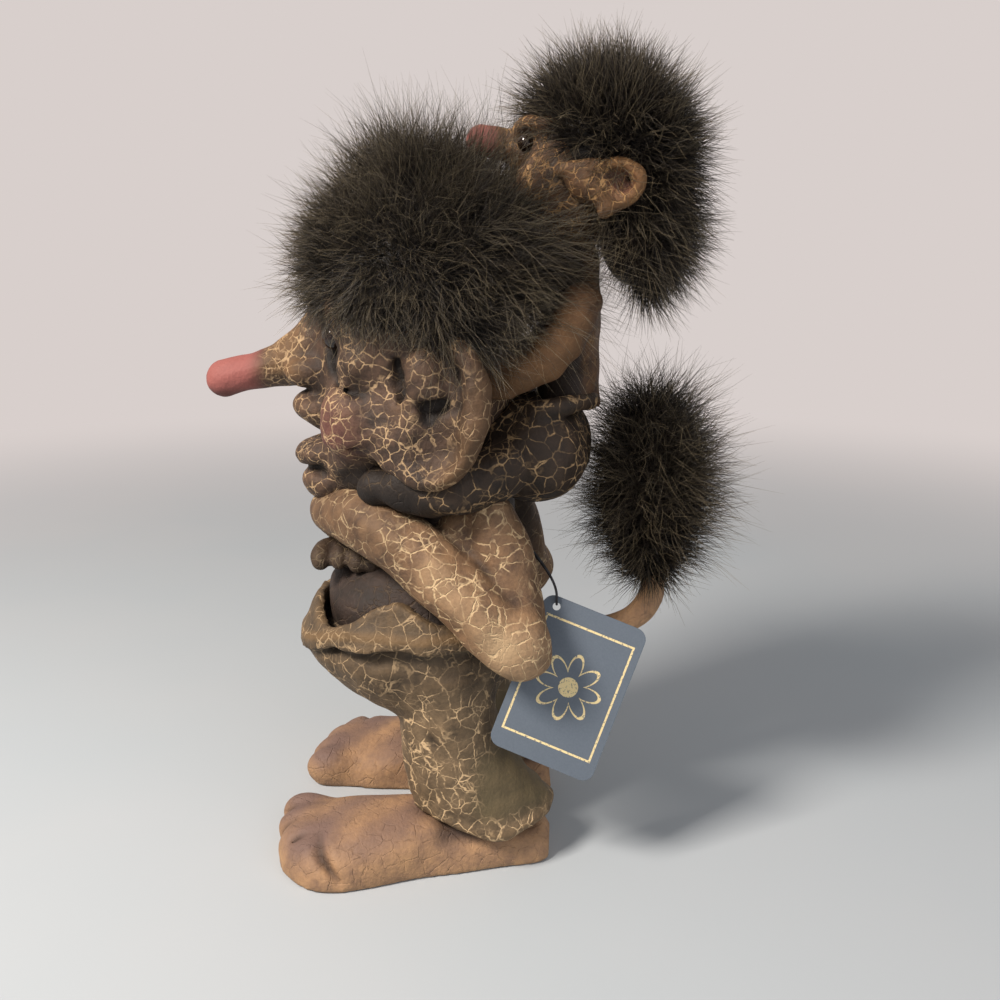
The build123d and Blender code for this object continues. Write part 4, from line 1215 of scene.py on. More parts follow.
        def blush(p: np.ndarray) -> np.ndarray:
            """Return where the skin is red: the nose's tip and the cheeks."""
            tip = 0.95 * ease(-53.0, -60.0, p[:, 1])
            cheeks = sum(0.3 * near(p, (side * 24.0, -32.0, 119.0), 13.0) for side in SIDES.values())
            return np.clip(tip + cheeks, 0, 1)

        def bare(p: np.ndarray) -> np.ndarray:
            """Return where the paint has no cracks, at the nose's tip."""
            return ease(-51.0, -57.0, p[:, 1])

        def warm(p: np.ndarray) -> np.ndarray:
            """Return where the skin is worn pale, at the ears' rear and the nose's bridge."""
            ear = ease(30.5, 34.5, np.abs(p[:, 0])) * ease(-8.0, 1.0, p[:, 1] - 0.35 * (p[:, 2] - 112))
            bridge = 0.45 * ease(-40.0, -46.0, p[:, 1]) * ease(128.0, 133.0, p[:, 2])
            bridge = bridge * (1 - ease(-50, -58, p[:, 1]))
            return np.clip(0.32 * ear + bridge, 0, 1)

        def painted_shade(p: np.ndarray) -> np.ndarray:
            """Return where the skin gets painted shade: in the clefts and hollows, under the nose and jaw,
            round the eyes and beside the ears.
            """
            nose_under = 0.6 * ease(-44, -52, p[:, 1]) * ease(128.0, 125.0, p[:, 2])
            holes = sum(near(p, (side * 31.0, y, z), 4.4) for side in SIDES.values()
                        for y, z in ((-7.0, 126.4), (-4.2, 126.6), (-6.0, 123.4), (-13.4, 131.0)))
            clefts = sum(1.4 * near(p, (side * x, y, z), 8.0) for side in SIDES.values()
                         for x, y, z in ((13.0, -33.0, 141.0), (12.0, -35.0, 147.0), (15.5, -32.0, 135.5)))
            jaw = 0.9 * ease(111.0, 106.5, p[:, 2]) * ease(-37.0, -31.0, p[:, 1])
            jaw = jaw * ease(33.0, 28.0, np.abs(p[:, 0]))
            eyes = sum(0.35 * near(p, (side * 23.0, -26.0, 137.0), 12.0) for side in SIDES.values())
            ears = 0.3 * ease(24.0, 30.0, np.abs(p[:, 0])) * ease(-16.0, -10.0, p[:, 1])
            return np.clip(nose_under + holes + clefts + jaw + eyes + ears, 0, 1)

        shop.dress("head_latex", clay, "face_latex", Body.FIGURE, ["head"],
                   {"blush": blush, "bare": bare, "worn": warm, "painted_shade": painted_shade})


@dataclass
class Child:
    """The child on the father's shoulders: trousers, body, limbs and head."""

    body: Sequence[Slice] = (
        (123.0, 27.0, 12.5, 8.8),
        (134.5, 27.5, 11.9, 8.0),
        (150.0, 28.0, 12.5, 7.8),
        (160.0, 28.5, 8.0, 6.4),
        (168.0, 28.5, 6.0, 5.0),
    )
    skull: Sequence[Slice] = (
        (164.0, 26.0, 7.0, 7.0),
        (168.0, 27.0, 11.5, 11.5),
        (174.6, 28.0, 15.0, 15.0),
        (183.0, 29.0, 16.0, 16.0),
        (190.6, 29.5, 15.2, 15.2),
        (197.8, 30.0, 11.2, 11.2),
        (202.0, 30.5, 5.0, 5.0),
    )
    leg: Sequence[Station] = (
        (16.0, 14.5, 111.0, 7.4),
        (25.0, 4.0, 105.5, 6.6),
        (27.2, -6.0, 104.2, 6.4),
        (24.0, -14.5, 104.8, 6.0),
    )
    ankle: Sequence[Station] = (
        (31.5, -12.0, 99.5, 0.8),
        (33.6, -13.0, 104.5, 1.0),
        (30.5, -13.5, 110.5, 0.8),
    )
    arm: Sequence[Station] = (
        (12.5, 30.5, 150.5, 5.2),
        (16.5, 27.0, 144.0, 5.7),
        (18.4, 21.0, 136.5, 5.6),
        (18.2, 14.0, 133.0, 5.2),
        (17.0, 10.0, 132.2, 4.6),
    )
    brow: Sequence[Station] = ((4.0, 14.5, 193.0, 2.0), (9.0, 16.8, 193.6, 2.2), (13.0, 21.0, 192.6, 1.8))
    ear_rim: Sequence[Station] = (
        (17.5, 24.0, 182.0, 1.7),
        (20.5, 33.0, 182.4, 1.9),
        (22.2, 40.0, 182.0, 2.0),
        (22.6, 42.6, 179.4, 2.0),
        (21.8, 40.4, 175.6, 2.0),
        (19.6, 35.0, 172.4, 1.8),
    )

    def build_trousers(self, shop: Workshop) -> None:
        """Model and paint the trouser seat with its hem at the waist."""
        clay = Clay((-27, -1, 95), (27, 42, 130), 0.8)
        clay.egg((0, 19.0, 112.5), (22.5, 15.0, 13.6), (0, 0, 0), 0.0)
        for side in SIDES.values():
            clay.egg((side * 13.5, 18.0, 110.0), (9.5, 13.5, 11.0), (0, 0, 0), 4.0)
        hem = [
            (17.0 * math.sin(t), 23.0 - 11.0 * math.cos(t), 123.6 + 1.3 * math.cos(t - 2.6), 2.4)
            for t in np.linspace(-math.pi, math.pi, 25)
        ]
        clay.limb(hem, 1.6, steps=2)
        clay.knead(12.0, 0.5, 31)
        shop.dress("child_trousers_latex", clay, "child_trouser_latex", Body.FIGURE,
                   ["child_trousers"])

    def build_body(self, shop: Workshop) -> None:
        """Model and paint the narrow upper body."""
        clay = Clay((-17, 14, 121), (17, 40, 172), 0.9)
        clay.stack(self.body, soft=0)
        clay.knead(9.0, 0.35, 33)
        masks = {
            "bare": lambda p: np.full(len(p), 0.8),
            # Painted shade: the child's body is dark at its front, towards the father's head.
            "painted_shade": lambda p: 0.9 * ease(32.5, 29.5, p[:, 1]),
        }
        shop.dress("child_torso_latex", clay, "child_latex", Body.FIGURE,
                   ["child_torso"], masks)

    def build_leg(self, shop: Workshop, name: str, side: int) -> None:
        """Model and paint one leg, over the father's shoulder to the foot."""
        clay = Clay.beside(side, (6, 38), (-35, 92), (24, 122))
        clay.limb(mirrored(self.leg, side), 0.0)
        clay.egg((side * 21.0, -20.0, 104.2), (5.2, 7.0, 5.2), (0, 0, side * 20), 3.0)
        clay.limb(mirrored(self.ankle, side), 1.8, Stroke.CARVE)
        clay.knead(9.0, 0.4, 35 + side)

        def painted_shade(p: np.ndarray) -> np.ndarray:
            """Return where the leg gets painted shade, below and towards the foot."""
            return np.clip(0.5 * ease(106, 97, p[:, 2]) + 0.85 * ease(-3, -14, p[:, 1]), 0, 1)

        shop.dress(f"child_{name}_leg_latex", clay, "child_trouser_latex", Body.FIGURE,
                   [f"child_{name}_leg"], {"painted_shade": painted_shade})

    def build_arm(self, shop: Workshop, name: str, side: int) -> None:
        """Model and paint one arm, which holds on with three fingers."""
        clay = Clay.beside(side, (4, 30), (3, 122), (42, 162), 0.7)
        clay.limb(mirrored(self.arm, side), 0.0)
        for finger in range(3):
            tip = [(19.5, 12.0, 135.5 - 3.4 * finger, 1.9), (19.0, 7.0, 134.6 - 3.2 * finger, 1.8)]
            clay.limb(mirrored(tip, side), 1.2)
        clay.knead(8.0, 0.3, 38 + side)
        masks = {
            "bare": lambda p: np.full(len(p), 0.9),
            "worn": lambda p: 0.35 * ease(17, 23, np.abs(p[:, 0])),
        }
        shop.dress(f"child_{name}_arm_latex", clay, "child_latex", Body.FIGURE,
                   [f"child_{name}_arm"], masks)

    def build_head(self, shop: Workshop) -> None:
        """Model and paint the head with its nose, brow and ears."""
        clay = Clay((-28, -2, 160), (28, 50, 204), 0.7)
        clay.stack(self.skull, soft=0)
        clay.limb([(0, 18.0, 188.0, 5.4), (0, 10.5, 189.0, 4.2), (0, 4.4, 190.2, 3.8)], 3.0)
        clay.egg((0, 15.5, 176.5), (8.0, 5.5, 5.0), (0, 0, 0), 3.0)
        clay.limb([(-7, 12.5, 176.0, 0.7), (0, 9.8, 176.2, 0.9), (7, 12.5, 176.0, 0.7)], 1.4, Stroke.CARVE)
        for side in SIDES.values():
            clay.egg((side * 11.0, 19.0, 180.0), (5.5, 5.5, 5.5), (0, 0, 0), 3.0)
            clay.limb(mirrored(self.brow, side), 3.0)
            clay.egg((side * 8.2, 13.8, 189.2), (3.4, 3.6, 2.6), (0, 0, 0), 1.2, Stroke.CARVE)
            clay.egg((side * 18.4, 34.0, 178.2), (4.4, 9.0, 5.0), (-20, 0, side * -8), 2.0)
            clay.limb(mirrored(self.ear_rim, side), 1.2)
            clay.egg((side * 24.0, 38.4, 179.2), (2.6, 3.6, 2.2), (-25, 0, 0), 1.6, Stroke.CARVE)
        clay.knead(8.0, 0.3, 41)

        def blush(p: np.ndarray) -> np.ndarray:
            """Return where the skin is red: the nose's tip and inside the ears."""
            ears = sum(0.45 * near(p, (side * 21.5, 39.5, 178.6), 5.5) for side in SIDES.values())
            return np.clip(0.9 * ease(9.5, 6.0, p[:, 1]) + ears, 0, 1)

        masks = {
            "blush": blush,
            "worn": lambda p: 0.6 * ease(21.5, 23.5, np.abs(p[:, 0])),
            "bare": lambda p: ease(11.0, 8.0, p[:, 1]),
        }
        shop.dress("child_head_latex", clay, "child_latex", Body.FIGURE, ["child_head"], masks)

    def build(self, shop: Workshop) -> None:
        """Model every piece of the child."""
        self.build_trousers(shop)
        self.build_body(shop)
        for name, side in SIDES.items():
            self.build_leg(shop, name, side)
            self.build_arm(shop, name, side)
        self.build_head(shop)


def scalp_from(name: str, clay: Clay, keep: Mask, comb: Mask, grow: Mask) -> bpy.types.Mesh:
    """Make the mesh that fibres grow on.

    Args:
        name: The mesh's name.
        clay: The form under the pile.
        keep: Which points grow fur, as a number above a half.
        comb: The way that the fibres lie at each point.
        grow: The fibres' share of their full length at each point.

    Returns:
        A mesh with its comb and grow fields.
    """
    points, quads = clay.surface()
    points = relaxed(points, quads, 2)
    quads = quads[(keep(points) > 0.5)[quads].all(axis=1)]
    used = np.unique(quads)
    renamed = np.full(len(points), -1)
    renamed[used] = np.arange(len(used))
    mesh = bpy.data.meshes.new(name)
    mesh.from_pydata(points[used] * MM, [], renamed[quads].tolist())
    set_field(mesh, "comb", comb(points[used]))
    set_field(mesh, "grow", grow(points[used]))
    return mesh


def outward(points: np.ndarray, centre: Point, radii: Point) -> np.ndarray:
    """Return the unit vectors that stand out of an egg at points near it."""
    away = (points - np.array(centre)) / np.array(radii) ** 2
    return away / np.linalg.norm(away, axis=1)[:, None]


@dataclass
class FatherFur:
    """The father's fur cap, spiky over the brow and falling over the ears."""

    centre: Point = (0.0, -10.0, 150.0)
    radii: Point = (31.0, 28.0, 30.0)
    swell: float = 5.5
    edge_y: Sequence[float] = (-40.0, -34.0, -27.0, -20.0, -12.0, -4.0, 3.0, 8.0, 16.0)
    edge_z: Sequence[float] = (153.0, 148.5, 146.5, 145.5, 145.0, 140.0, 138.0, 143.0, 151.0)
    piles: int = 4
    fibres: int = 9200

    def build(self, shop: Workshop) -> None:
        """Model the dark backing and grow the piles."""
        clay = Clay((-40, -46, 120), (40, 32, 186), 1.0)
        clay.stack(Head.skull, soft=0)

        def hairline(p: np.ndarray) -> np.ndarray:
            """Return how far points lie above the fur's lower edge."""
            edge = np.interp(p[:, 1], self.edge_y, self.edge_z)
            return p[:, 2] - edge - 3.0 * (1 - ease(4, 20, np.abs(p[:, 0])))

        x, y, z = clay.axes()
        grid = np.stack(np.broadcast_arrays(x, y, z), axis=-1).reshape(-1, 3)
        above = hairline(grid).reshape(clay.depth.shape)
        swell = self.swell * ease(0, 16, above) * (1 - 0.8 * ease(-8, 4, y))
        swell = swell * (1 - 0.4 * ease(18, 30, np.abs(x)))
        clay.depth = np.maximum(clay.depth - 1.4 - swell, -above)
        shop.dress("hair_backing", clay, "fur", Body.FIGURE, ["hair"])

        def comb(p: np.ndarray) -> np.ndarray:
            """Return the way that the fibres lie: down at the sides, up on top, back at the rear."""
            out = outward(p, self.centre, self.radii)
            low = ease(172.0, 148.0, p[:, 2])[:, None]
            front = ease(-20.0, -34.0, p[:, 1])[:, None]
            rear = ease(-3.0, 7.0, p[:, 1])[:, None]
            high = ease(156.0, 166.0, p[:, 2])[:, None]
            fall = 1.3 * low * (1 - 0.65 * front) * (1 - 0.75 * rear)
            way = (1 - 0.4 * rear) * out + fall * np.array([0.0, 0.12, -1.0])
            way += 0.5 * (1 - low) * (1 - rear) * np.array([0.0, 0.0, 1.0]) + rear * np.array([0.0, 1.1, 0.1])
            way += rear * high * np.array([0.0, 0.5, 0.8])
            way *= np.array([0.6, 1.0, 1.0])
            return way / np.linalg.norm(way, axis=1)[:, None]

        def grow(p: np.ndarray) -> np.ndarray:
            """Return the fibres' share of their full length, longest over the ears and at the rear."""
            top = ease(158.0, 172.0, p[:, 2])
            front = ease(-18.0, -34.0, p[:, 1])
            rear = ease(-2.0, 6.0, p[:, 1])
            ear = ease(22.0, 27.0, np.abs(p[:, 0])) * ease(152.0, 146.0, p[:, 2])
            ear = ear * (1 - ease(3.0, 8.0, np.abs(p[:, 1])))
            uneven = np.sin(0.33 * p[:, 0] + 0.21 * p[:, 2]) * np.sin(0.38 * p[:, 1] - 0.17 * p[:, 2] + 1.0)
            length = (0.8 + 0.2 * top + 0.45 * ear + 0.45 * rear * (1 - top)) * (1 - 0.2 * front)
            length = length * (1 + 0.85 * rear * top)
            return length * (1 + 0.28 * uneven) * (1 - 0.42 * ease(16.0, 30.0, np.abs(p[:, 0])))

        for pile in range(self.piles):
            scalp = scalp_from(f"scalp_{pile}", clay, lambda p: (hairline(p) > 0.4).astype(float), comb, grow)
            groom = Groom(count=self.fibres, length=14.5, thickness=0.18, frizz=0.9, curl=0.5, droop=0.12,
                          stray=0.75, pale=0.0, seed=51 + pile)
            if pile == 0:
                groom = Groom(count=self.fibres, length=17.0, thickness=0.17, frizz=1.0, curl=0.5, droop=0.15,
                              stray=0.95, pale=0.55, seed=50)
            shop.grow(f"hair_pile_{pile + 1}", scalp, groom, Body.FIGURE)


@dataclass
class ChildFur:
    """The child's fur cap, longest down the back of the head."""

    crown: Point = (0.0, 35.5, 188.5)
    crown_radii: Point = (18.6, 17.6, 15.6)
    nape: Point = (0.0, 44.0, 171.0)
    nape_radii: Point = (13.5, 9.8, 17.0)
    piles: int = 2
    fibres: int = 9200

    def build(self, shop: Workshop) -> None:
        """Model the dark backing and grow the piles."""
        clay = Clay((-26, 8, 146), (26, 60, 212), 1.0)
        clay.egg(self.crown, self.crown_radii, soft=0.0)
        clay.egg(self.nape, self.nape_radii, soft=6.0)

        def keep(p: np.ndarray) -> np.ndarray:
            """Return 1 where fur grows, which leaves the face free."""
            face = (p[:, 1] < 20.0 - 0.6 * (p[:, 2] - 196.0)) & (p[:, 2] < 197.5)
            return (~(face | ((p[:, 1] < 33.0) & (p[:, 2] < 186.0)))).astype(float)

        def comb(p: np.ndarray) -> np.ndarray:
            """Return the way that the fibres lie: outwards, down at the nape and over the brow."""
            low = ease(190.0, 158.0, p[:, 2])[:, None]
            out = (1 - low) * outward(p, self.crown, self.crown_radii)
            out = out + low * outward(p, self.nape, self.nape_radii)
            fringe = (ease(27.0, 19.0, p[:, 1]) * ease(203.0, 196.0, p[:, 2]))[:, None]
            way = out + low * np.array([0.0, 0.1, -0.55]) + (1 - low) * np.array([0.0, -0.15, 0.25])
            way += fringe * np.array([0.0, -0.4, -1.1])
            return way / np.linalg.norm(way, axis=1)[:, None]

        shop.dress("child_hair_backing", clay, "fur", Body.FIGURE, ["child_hair"])
        for pile in range(self.piles):
            scalp = scalp_from(f"child_scalp_{pile}", clay, keep, comb, lambda p: np.ones(len(p)))
            groom = Groom(count=self.fibres, length=11.0, thickness=0.2, frizz=0.8, curl=0.5, droop=0.05,
                          stray=0.5, pale=0.0, seed=61 + pile)
            shop.grow(f"child_hair_pile_{pile + 1}", scalp, groom, Body.FIGURE)


@dataclass
class Tail:
    """The latex tail and its fur tuft."""

    line: Sequence[Station] = (
        (0, 18.9, 52.0, 4.2),
        (0, 28.0, 54.0, 3.7),
        (0, 37.8, 58.0, 3.4),
        (0, 46.5, 61.5, 3.4),
        (0, 51.4, 68.0, 3.5),
        (0, 51.9, 78.0, 3.0),
    )
    tuft: Point = (0.0, 50.5, 98.0)
    tuft_radii: Point = (7.5, 8.0, 25.0)
    fibres: int = 9200
    long_fibres: int = 2600

    def build(self, shop: Workshop) -> None:
        """Model the tail, the tuft's dark core and its piles."""
        clay = Clay((-8, 12, 44), (8, 60, 86), 0.6)
        clay.limb(self.line, 0.0)
        clay.knead(7.0, 0.3, 71)
        shop.dress("tail_latex", clay, "foot_latex", Body.TAIL, ["tail"])
        core = Clay((-14, 38, 66), (14, 66, 132), 1.0)
        core.egg(self.tuft, self.tuft_radii, soft=0.0)
        shop.dress("tuft_core", core, "fur", Body.TAIL, ["tail_tuft"])

        def comb(p: np.ndarray) -> np.ndarray:
            """Return the way that the fibres lie: outwards and up."""
            way = outward(p, self.tuft, self.tuft_radii) + np.array([0.0, 0.1, 0.55])
            return way / np.linalg.norm(way, axis=1)[:, None]

        grooms = (
            Groom(count=self.fibres, length=15.0, thickness=0.2, frizz=1.1, curl=0.45, droop=0.1, stray=0.65,
                  pale=0.0, seed=81),
            Groom(count=self.long_fibres, length=18.0, thickness=0.18, frizz=1.0, curl=0.4, droop=0.15,
                  stray=0.65, pale=0.2, seed=82),
        )
        for pile, groom in enumerate(grooms):
            scalp = scalp_from(f"tuft_scalp_{pile}", core, lambda p: np.ones(len(p)), comb,
                               lambda p: 0.55 + 0.45 * ease(72.0, 95.0, p[:, 2]))
            shop.grow(f"tuft_pile_{pile + 1}", scalp, groom, Body.TAIL)


@dataclass
class SwingTag:
    """The card tag on its thread."""

    hole: Point = (21.8, 25.0, 72.6)
    tilt: float = math.radians(16.5)
    turn: float = math.radians(21.0)
    width: float = 28.5
    height: float = 42.0
    thickness: float = 0.6
    corner: float = 3.0
    hole_radius: float = 1.1
    hole_in: float = 3.7
    hole_down: float = 2.6
    thread: float = 0.7
    stand: float = 1.5
    rise: float = 4.5
    border_in: float = 2.2
    border_down: float = 5.2
    border_half: float = 0.28
    petals: int = 8
    petal_root: float = 4.2
    petal_length: float = 4.4
    petal_half: float = 0.45
    heart_radius: float = 2.6
    bevel: float = 0.06

    def axes(self) -> tuple[np.ndarray, np.ndarray, np.ndarray]:
        """Return the card's across, up and outward directions."""
        normal = np.array([math.cos(self.tilt), 0.0, math.sin(self.tilt)])
        down = np.array([math.sin(self.tilt), 0.0, -math.cos(self.tilt)])
        across = np.array([0.0, 1.0, 0.0]) * math.cos(self.turn) + down * math.sin(self.turn)
        return across, np.cross(normal, across), normal

    def card_material(self) -> bpy.types.Material:
        """Build satin card of slate blue with a thin border and a rosette in gold foil."""
        material, wires, shader = new_material("printed_card")
        place = put(wires.tree, "ShaderNodeUVMap", uv_map="card").outputs[0]
        parts = put(wires.tree, "ShaderNodeSeparateXYZ", {0: place}).outputs
        edges = []
        for axis, size, inset in (("X", self.width, self.border_in), ("Y", self.height, self.border_down)):
            edges.append(wires.math("SUBTRACT", wires.math("ABSOLUTE", parts[axis]), 0.5 * size - inset))
        border = wires.math("COMPARE", wires.math("MAXIMUM", *edges), 0.0, self.border_half)
        angle = wires.math("ARCTAN2", parts["Y"], parts["X"])
        wave = wires.math("COSINE", wires.math("MULTIPLY", angle, 0.5 * self.petals))
        petal = wires.math("MULTIPLY_ADD", wires.math("ABSOLUTE", wave), self.petal_length, self.petal_root)
        middle = wires.length(place)
        rosette = wires.math("COMPARE", wires.math("SUBTRACT", middle, petal), 0.0, self.petal_half)
        heart = wires.math("LESS_THAN", middle, self.heart_radius)
        printed = wires.math("MAXIMUM", wires.math("MAXIMUM", border, rosette), heart)
        fibre = wires.noise(wires.place(), 0.5)
        foil = wires.math("MULTIPLY", printed, wires.ramp(fibre, 0.3, 0.45))
        card = wires.mix(fibre, "525c67", "606a75")
        feed(wires.tree, shader, {
            "Base Color": wires.mix(foil, card, "e3cf9a"),
            "Roughness": wires.ramp(foil, start=0.55, end=0.35),
            "Normal": wires.bump(fibre, 0.2, 0.05),
        })
        return material

    def outline(self) -> list[tuple[float, float]]:
        """Return the card's outline about its middle, with round corners."""
        points = []
        for corner, (sx, sy) in enumerate(((1, 1), (-1, 1), (-1, -1), (1, -1))):
            for step in range(7):
                angle = math.radians(90 * corner + 15 * step)
                points.append((sx * (0.5 * self.width - self.corner) + self.corner * math.cos(angle),
                               sy * (0.5 * self.height - self.corner) + self.corner * math.sin(angle)))
        return points

    def build_card(self) -> None:
        """Model the card with its hole as a flat curve, and give it its print."""
        across, up, normal = self.axes()
        middle = np.array([0.5 * self.width - self.hole_in, self.hole_down - 0.5 * self.height])
        curve = bpy.data.curves.new("tag_outline", "CURVE")
        curve.dimensions = "2D"
        curve.fill_mode = "BOTH"
        curve.extrude = 0.5 * self.thickness - self.bevel
        curve.bevel_depth = self.bevel
        curve.bevel_resolution = 1
        ring = [(math.cos(t) * self.hole_radius - middle[0], math.sin(t) * self.hole_radius - middle[1])
                for t in np.linspace(0, 2 * math.pi, 24, endpoint=False)]
        for loop in (self.outline(), ring):
            spline = curve.splines.new("POLY")
            spline.points.add(len(loop) - 1)
            spline.points.foreach_set("co", np.array([(x, y, 0.0, 1.0) for x, y in loop]).ravel())
            spline.use_cyclic_u = True
        shape = add_object("tag_shape", curve)
        mesh = bpy.data.meshes.new_from_object(shape.evaluated_get(bpy.context.evaluated_depsgraph_get()))
        bpy.data.objects.remove(shape)
        flat = np.empty(len(mesh.vertices) * 3, np.float32)
        mesh.vertices.foreach_get("co", flat)
        flat = flat.reshape(-1, 3)
        corner_of = np.empty(len(mesh.loops), np.int32)
        mesh.loops.foreach_get("vertex_index", corner_of)
        layer = mesh.uv_layers.new(name="card")
        layer.data.foreach_set("uv", flat[corner_of, :2].ravel())
        shift = flat[:, :2] + middle
        placed = np.array(self.hole) + shift[:, :1] * across + shift[:, 1:] * up + flat[:, 2:] * normal
        mesh.vertices.foreach_set("co", (placed * MM).astype(np.float32).ravel())
        mesh.update()
        mesh.materials.append(self.card_material())
        piece = add_object("tag_card_printed", mesh)
        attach(piece, Body.TAG.value)
        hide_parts("tag_card")
        log.info("tag_card_printed: %d faces", len(mesh.polygons))

    def route(self) -> list[np.ndarray]:
        """Return the thread's points, from the back through the card's hole and back again."""
        hole = np.array(self.hole)
        _, _, normal = self.axes()
        down = np.array([math.sin(self.tilt), 0.0, -math.cos(self.tilt)])
        fold = down * (0.5 * self.thread + 0.2 - self.hole_radius)
        return [
            np.array([13.6, 7.6, 90.3]),
            np.array([14.3, 12.4, 90.2]),
            np.array([16.3, 18.0, 86.4]),
            np.array([18.2, 22.6, 81.0]),
            hole - down * self.rise - normal * self.stand,
            hole + fold - normal * self.stand,
            hole + fold + normal * self.stand,
            hole - down * self.rise + normal * self.stand,
            np.array([20.5, 22.6, 82.0]),
            np.array([18.0, 18.0, 87.4]),
            np.array([15.5, 12.4, 91.1]),
            np.array([14.4, 7.6, 91.5]),
        ]

    def build_thread(self) -> None:
        """Lay the black thread along its route."""
        points = self.route()
        curve = bpy.data.curves.new("tag_thread_line", "CURVE")
        curve.dimensions = "3D"
        curve.bevel_depth = 0.5 * self.thread * MM
        curve.bevel_resolution = 2
        curve.use_fill_caps = True
        spline = curve.splines.new("NURBS")
        spline.points.add(len(points) - 1)
        for point, place in zip(spline.points, points):
            point.co = (*(place * MM), 1.0)
        spline.order_u = 3
        spline.use_endpoint_u = True
        spline.resolution_u = 6
        material, wires, shader = new_material("twisted_thread")
        lay = put(wires.tree, "ShaderNodeTexWave",
                  {"Vector": wires.place(), "Scale": 1 / (3.2 * MM), "Distortion": 1.0}).outputs["Fac"]
        feed(wires.tree, shader, {
            "Base Color": wires.mix(lay, "0d0d0f", "26262a"),
            "Normal": wires.bump(lay, 0.5, 0.1),
            "Roughness": 0.8,
        })
        curve.materials.append(material)
        piece = add_object("tag_thread_line", curve)
        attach(piece, Body.FIGURE.value)
        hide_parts("tag_thread")
        log.info("tag_thread_line: %d points", len(points))

    def build(self) -> None:
        """Make the card and its thread."""
        self.build_card()
        self.build_thread()


@dataclass(frozen=True)
class BeadGlass:
    """Dark moulded bead eyes with a clear gloss, which gives one sharp highlight."""

    name: str = "bead_gloss"
    pupil: str = "0a0605"
    brown: str = "2a160c"

    def material(self) -> bpy.types.Material:
        """Build the bead, brown in places and almost black elsewhere."""
        material, wires, shader = new_material(self.name)
        colour = wires.mix(wires.noise(wires.place(), 3.0), self.pupil, self.brown)
        feed(wires.tree, shader, {"Base Color": colour, "Roughness": 0.12})
        return material


@dataclass(frozen=True)
class InnerStuff:
    """Pieces inside the figure: open-cell foam, and drawn steel wire."""

    name: str
    light: str
    dark: str
    cell_mm: float
    metallic: float
    roughness: float

    def material(self) -> bpy.types.Material:
        """Build the stuff from cells, or from drawing lines, of its real size."""
        material, wires, shader = new_material(self.name)
        values = {"Vector": wires.place(), "Scale": 1 / (self.cell_mm * MM)}
        cells = put(wires.tree, "ShaderNodeTexVoronoi", values).outputs["Distance"]
        feed(wires.tree, shader, {
            "Base Color": wires.mix(cells, self.light, self.dark),
            "Normal": wires.bump(cells, 0.4, 0.2),
            "Metallic": self.metallic,
            "Roughness": self.roughness,
        })
        return material


def dress_solids() -> None:
    """Give the solids that stay in view, or inside the figure, their finishes."""
    bead = BeadGlass().material()
    foam = InnerStuff("open_cell_foam", light="d9cba0", dark="b8a87c", cell_mm=1.2, metallic=0.0,
                      roughness=0.9)
    wire = InnerStuff("drawn_steel", light="9a9a98", dark="7c7c7a", cell_mm=0.4, metallic=1.0,
                      roughness=0.35)
    foam_finish = foam.material()
    wire_finish = wire.material()
    finishes = {
        "left_eye": bead,
        "right_eye": bead,
        "child_left_eye": bead,
        "child_right_eye": bead,
        "body_filling": foam_finish,
        "head_filling": foam_finish,
        "tail_wire": wire_finish,
    }
    for node, material in finishes.items():
        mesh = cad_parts[node].data
        mesh.materials.clear()
        mesh.materials.append(material)


@dataclass(frozen=True)
class Lamp:
    """One square lamp that faces the figure. Its place and size are in metres."""

    name: str
    place: Point
    size: float
    power: float
    colour: str


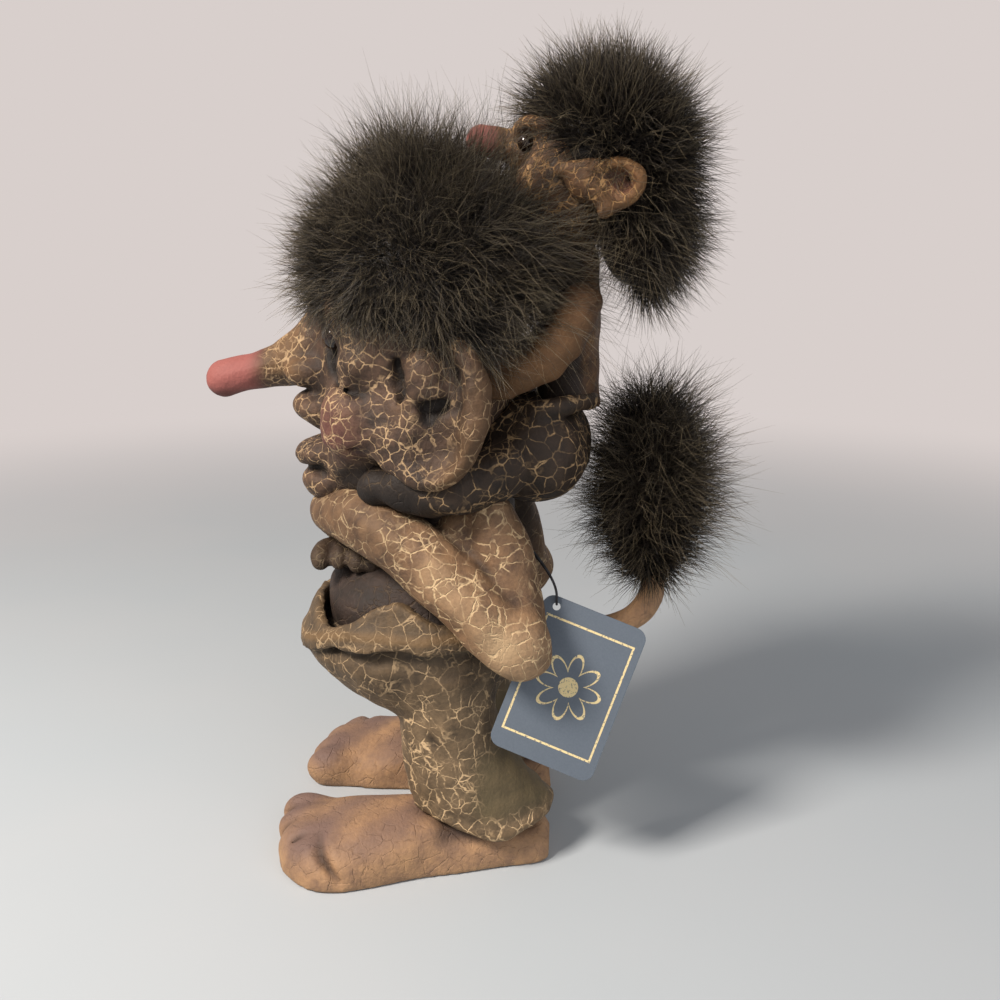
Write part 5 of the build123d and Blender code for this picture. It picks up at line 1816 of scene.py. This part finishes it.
@dataclass
class Studio:
    """Pale floor that fades into the backdrop, two lamps and the camera."""

    camera_place: Point = (269.63, 23.13, 163.02)
    aim: Point = (0.0, 9.0, 95.7)
    lens: float = 36.0
    floor_reach: float = 6.0
    floor_colour: str = "b2bcc2"
    wall_colour: str = "d8cfcc"
    sky_colour: str = "e6e2e0"
    sky_strength: float = 0.34
    fade_from: float = 0.22
    fade_to: float = 0.8
    lamp_aim: Point = (0.0, 0.0, 0.09)
    lamps: Sequence[Lamp] = (
        Lamp("key", (0.34, -0.40, 0.60), size=0.20, power=8.0, colour="fff4ea"),
        Lamp("fill", (0.60, 0.50, 0.45), size=0.80, power=2.2, colour="f4f6ff"),
    )

    def build(self) -> None:
        """Set up the stage."""
        scene = bpy.context.scene
        scene.view_settings.view_transform = "Standard"
        camera = bpy.data.cameras.new("camera")
        camera.sensor_width = 36.0
        camera.lens = self.lens
        camera.clip_start = 0.01
        view = add_object("camera", camera)
        view.location = Vector(self.camera_place) * MM
        sight = Vector(self.aim) - Vector(self.camera_place)
        view.rotation_euler = sight.to_track_quat("-Z", "Y").to_euler()
        scene.camera = view
        self.build_floor()
        self.build_lights(scene)

    def seen(self, wires: Wiring) -> Socket:
        """Return 1 for what the camera sees, directly, in a gloss or through glass."""
        path = put(wires.tree, "ShaderNodeLightPath").outputs
        gloss = wires.math("MAXIMUM", path["Is Glossy Ray"], path["Is Transmission Ray"])
        return wires.math("MAXIMUM", path["Is Camera Ray"], gloss)

    def build_floor(self) -> None:
        """Lay a large pale floor that keeps its shadow and fades into the backdrop further off."""
        mesh = bpy.data.meshes.new("floor")
        reach = self.floor_reach
        corners = [(-reach, -reach, 0), (reach, -reach, 0), (reach, reach, 0), (-reach, reach, 0)]
        mesh.from_pydata(corners, [], [(0, 1, 2, 3)])
        material, wires, shader = new_material("pale_table")
        place = wires.place()
        cloud = put(wires.tree, "ShaderNodeTexNoise", {"Vector": place, "Scale": 9.0}).outputs["Fac"]
        colour = wires.mix(wires.ramp(cloud, end=0.25), self.floor_colour, self.wall_colour)
        feed(wires.tree, shader, {"Base Color": colour, "Roughness": 0.7})
        fade = wires.ramp(wires.length(place), self.fade_from, self.fade_to, shape="SMOOTHSTEP")
        fade = wires.math("MULTIPLY", fade, self.seen(wires))
        glow = put(wires.tree, "ShaderNodeEmission", {"Color": linear(self.wall_colour)}).outputs[0]
        both = put(wires.tree, "ShaderNodeMixShader", {0: fade, 1: shader.outputs[0], 2: glow}).outputs[0]
        feed(wires.tree, wires.tree.nodes["Material Output"], {"Surface": both})
        mesh.materials.append(material)
        add_object("floor", mesh)

    def build_lights(self, scene: bpy.types.Scene) -> None:
        """Hang the key lamp and the weak fill, and light the rest with a pale sky."""
        for lamp in self.lamps:
            light = bpy.data.lights.new(lamp.name, "AREA")
            light.size = lamp.size
            light.energy = lamp.power
            light.color = linear(lamp.colour)[:3]
            stand = add_object(lamp.name, light)
            stand.location = lamp.place
            beam = Vector(self.lamp_aim) - Vector(lamp.place)
            stand.rotation_euler = beam.to_track_quat("-Z", "Y").to_euler()
        world = bpy.data.worlds.new("sky")
        scene.world = world
        world.use_nodes = True
        wires = Wiring(world.node_tree)
        sky = wires.tree.nodes["Background"]
        feed(wires.tree, sky, {"Color": linear(self.sky_colour), "Strength": self.sky_strength})
        wall = put(wires.tree, "ShaderNodeBackground", {"Color": linear(self.wall_colour), "Strength": 1.0})
        both = put(wires.tree, "ShaderNodeMixShader",
                   {0: self.seen(wires), 1: sky.outputs[0], 2: wall.outputs[0]}).outputs[0]
        feed(wires.tree, wires.tree.nodes["World Output"], {"Surface": both})


def main() -> None:
    """Build every sub-assembly in order."""
    logging.basicConfig(level=logging.INFO, format="%(message)s")
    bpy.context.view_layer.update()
    shop = Workshop()
    shop.open()
    Studio().build()
    SwingTag().build()
    Trousers().build(shop)
    Torso().build(shop)
    for name, side in SIDES.items():
        Foot(side, name).build(shop)
        Arm(side, name).build(shop)
    Head().build(shop)
    Child().build(shop)
    FatherFur().build(shop)
    ChildFur().build(shop)
    Tail().build(shop)
    dress_solids()


if __name__ == "__main__":
    main()
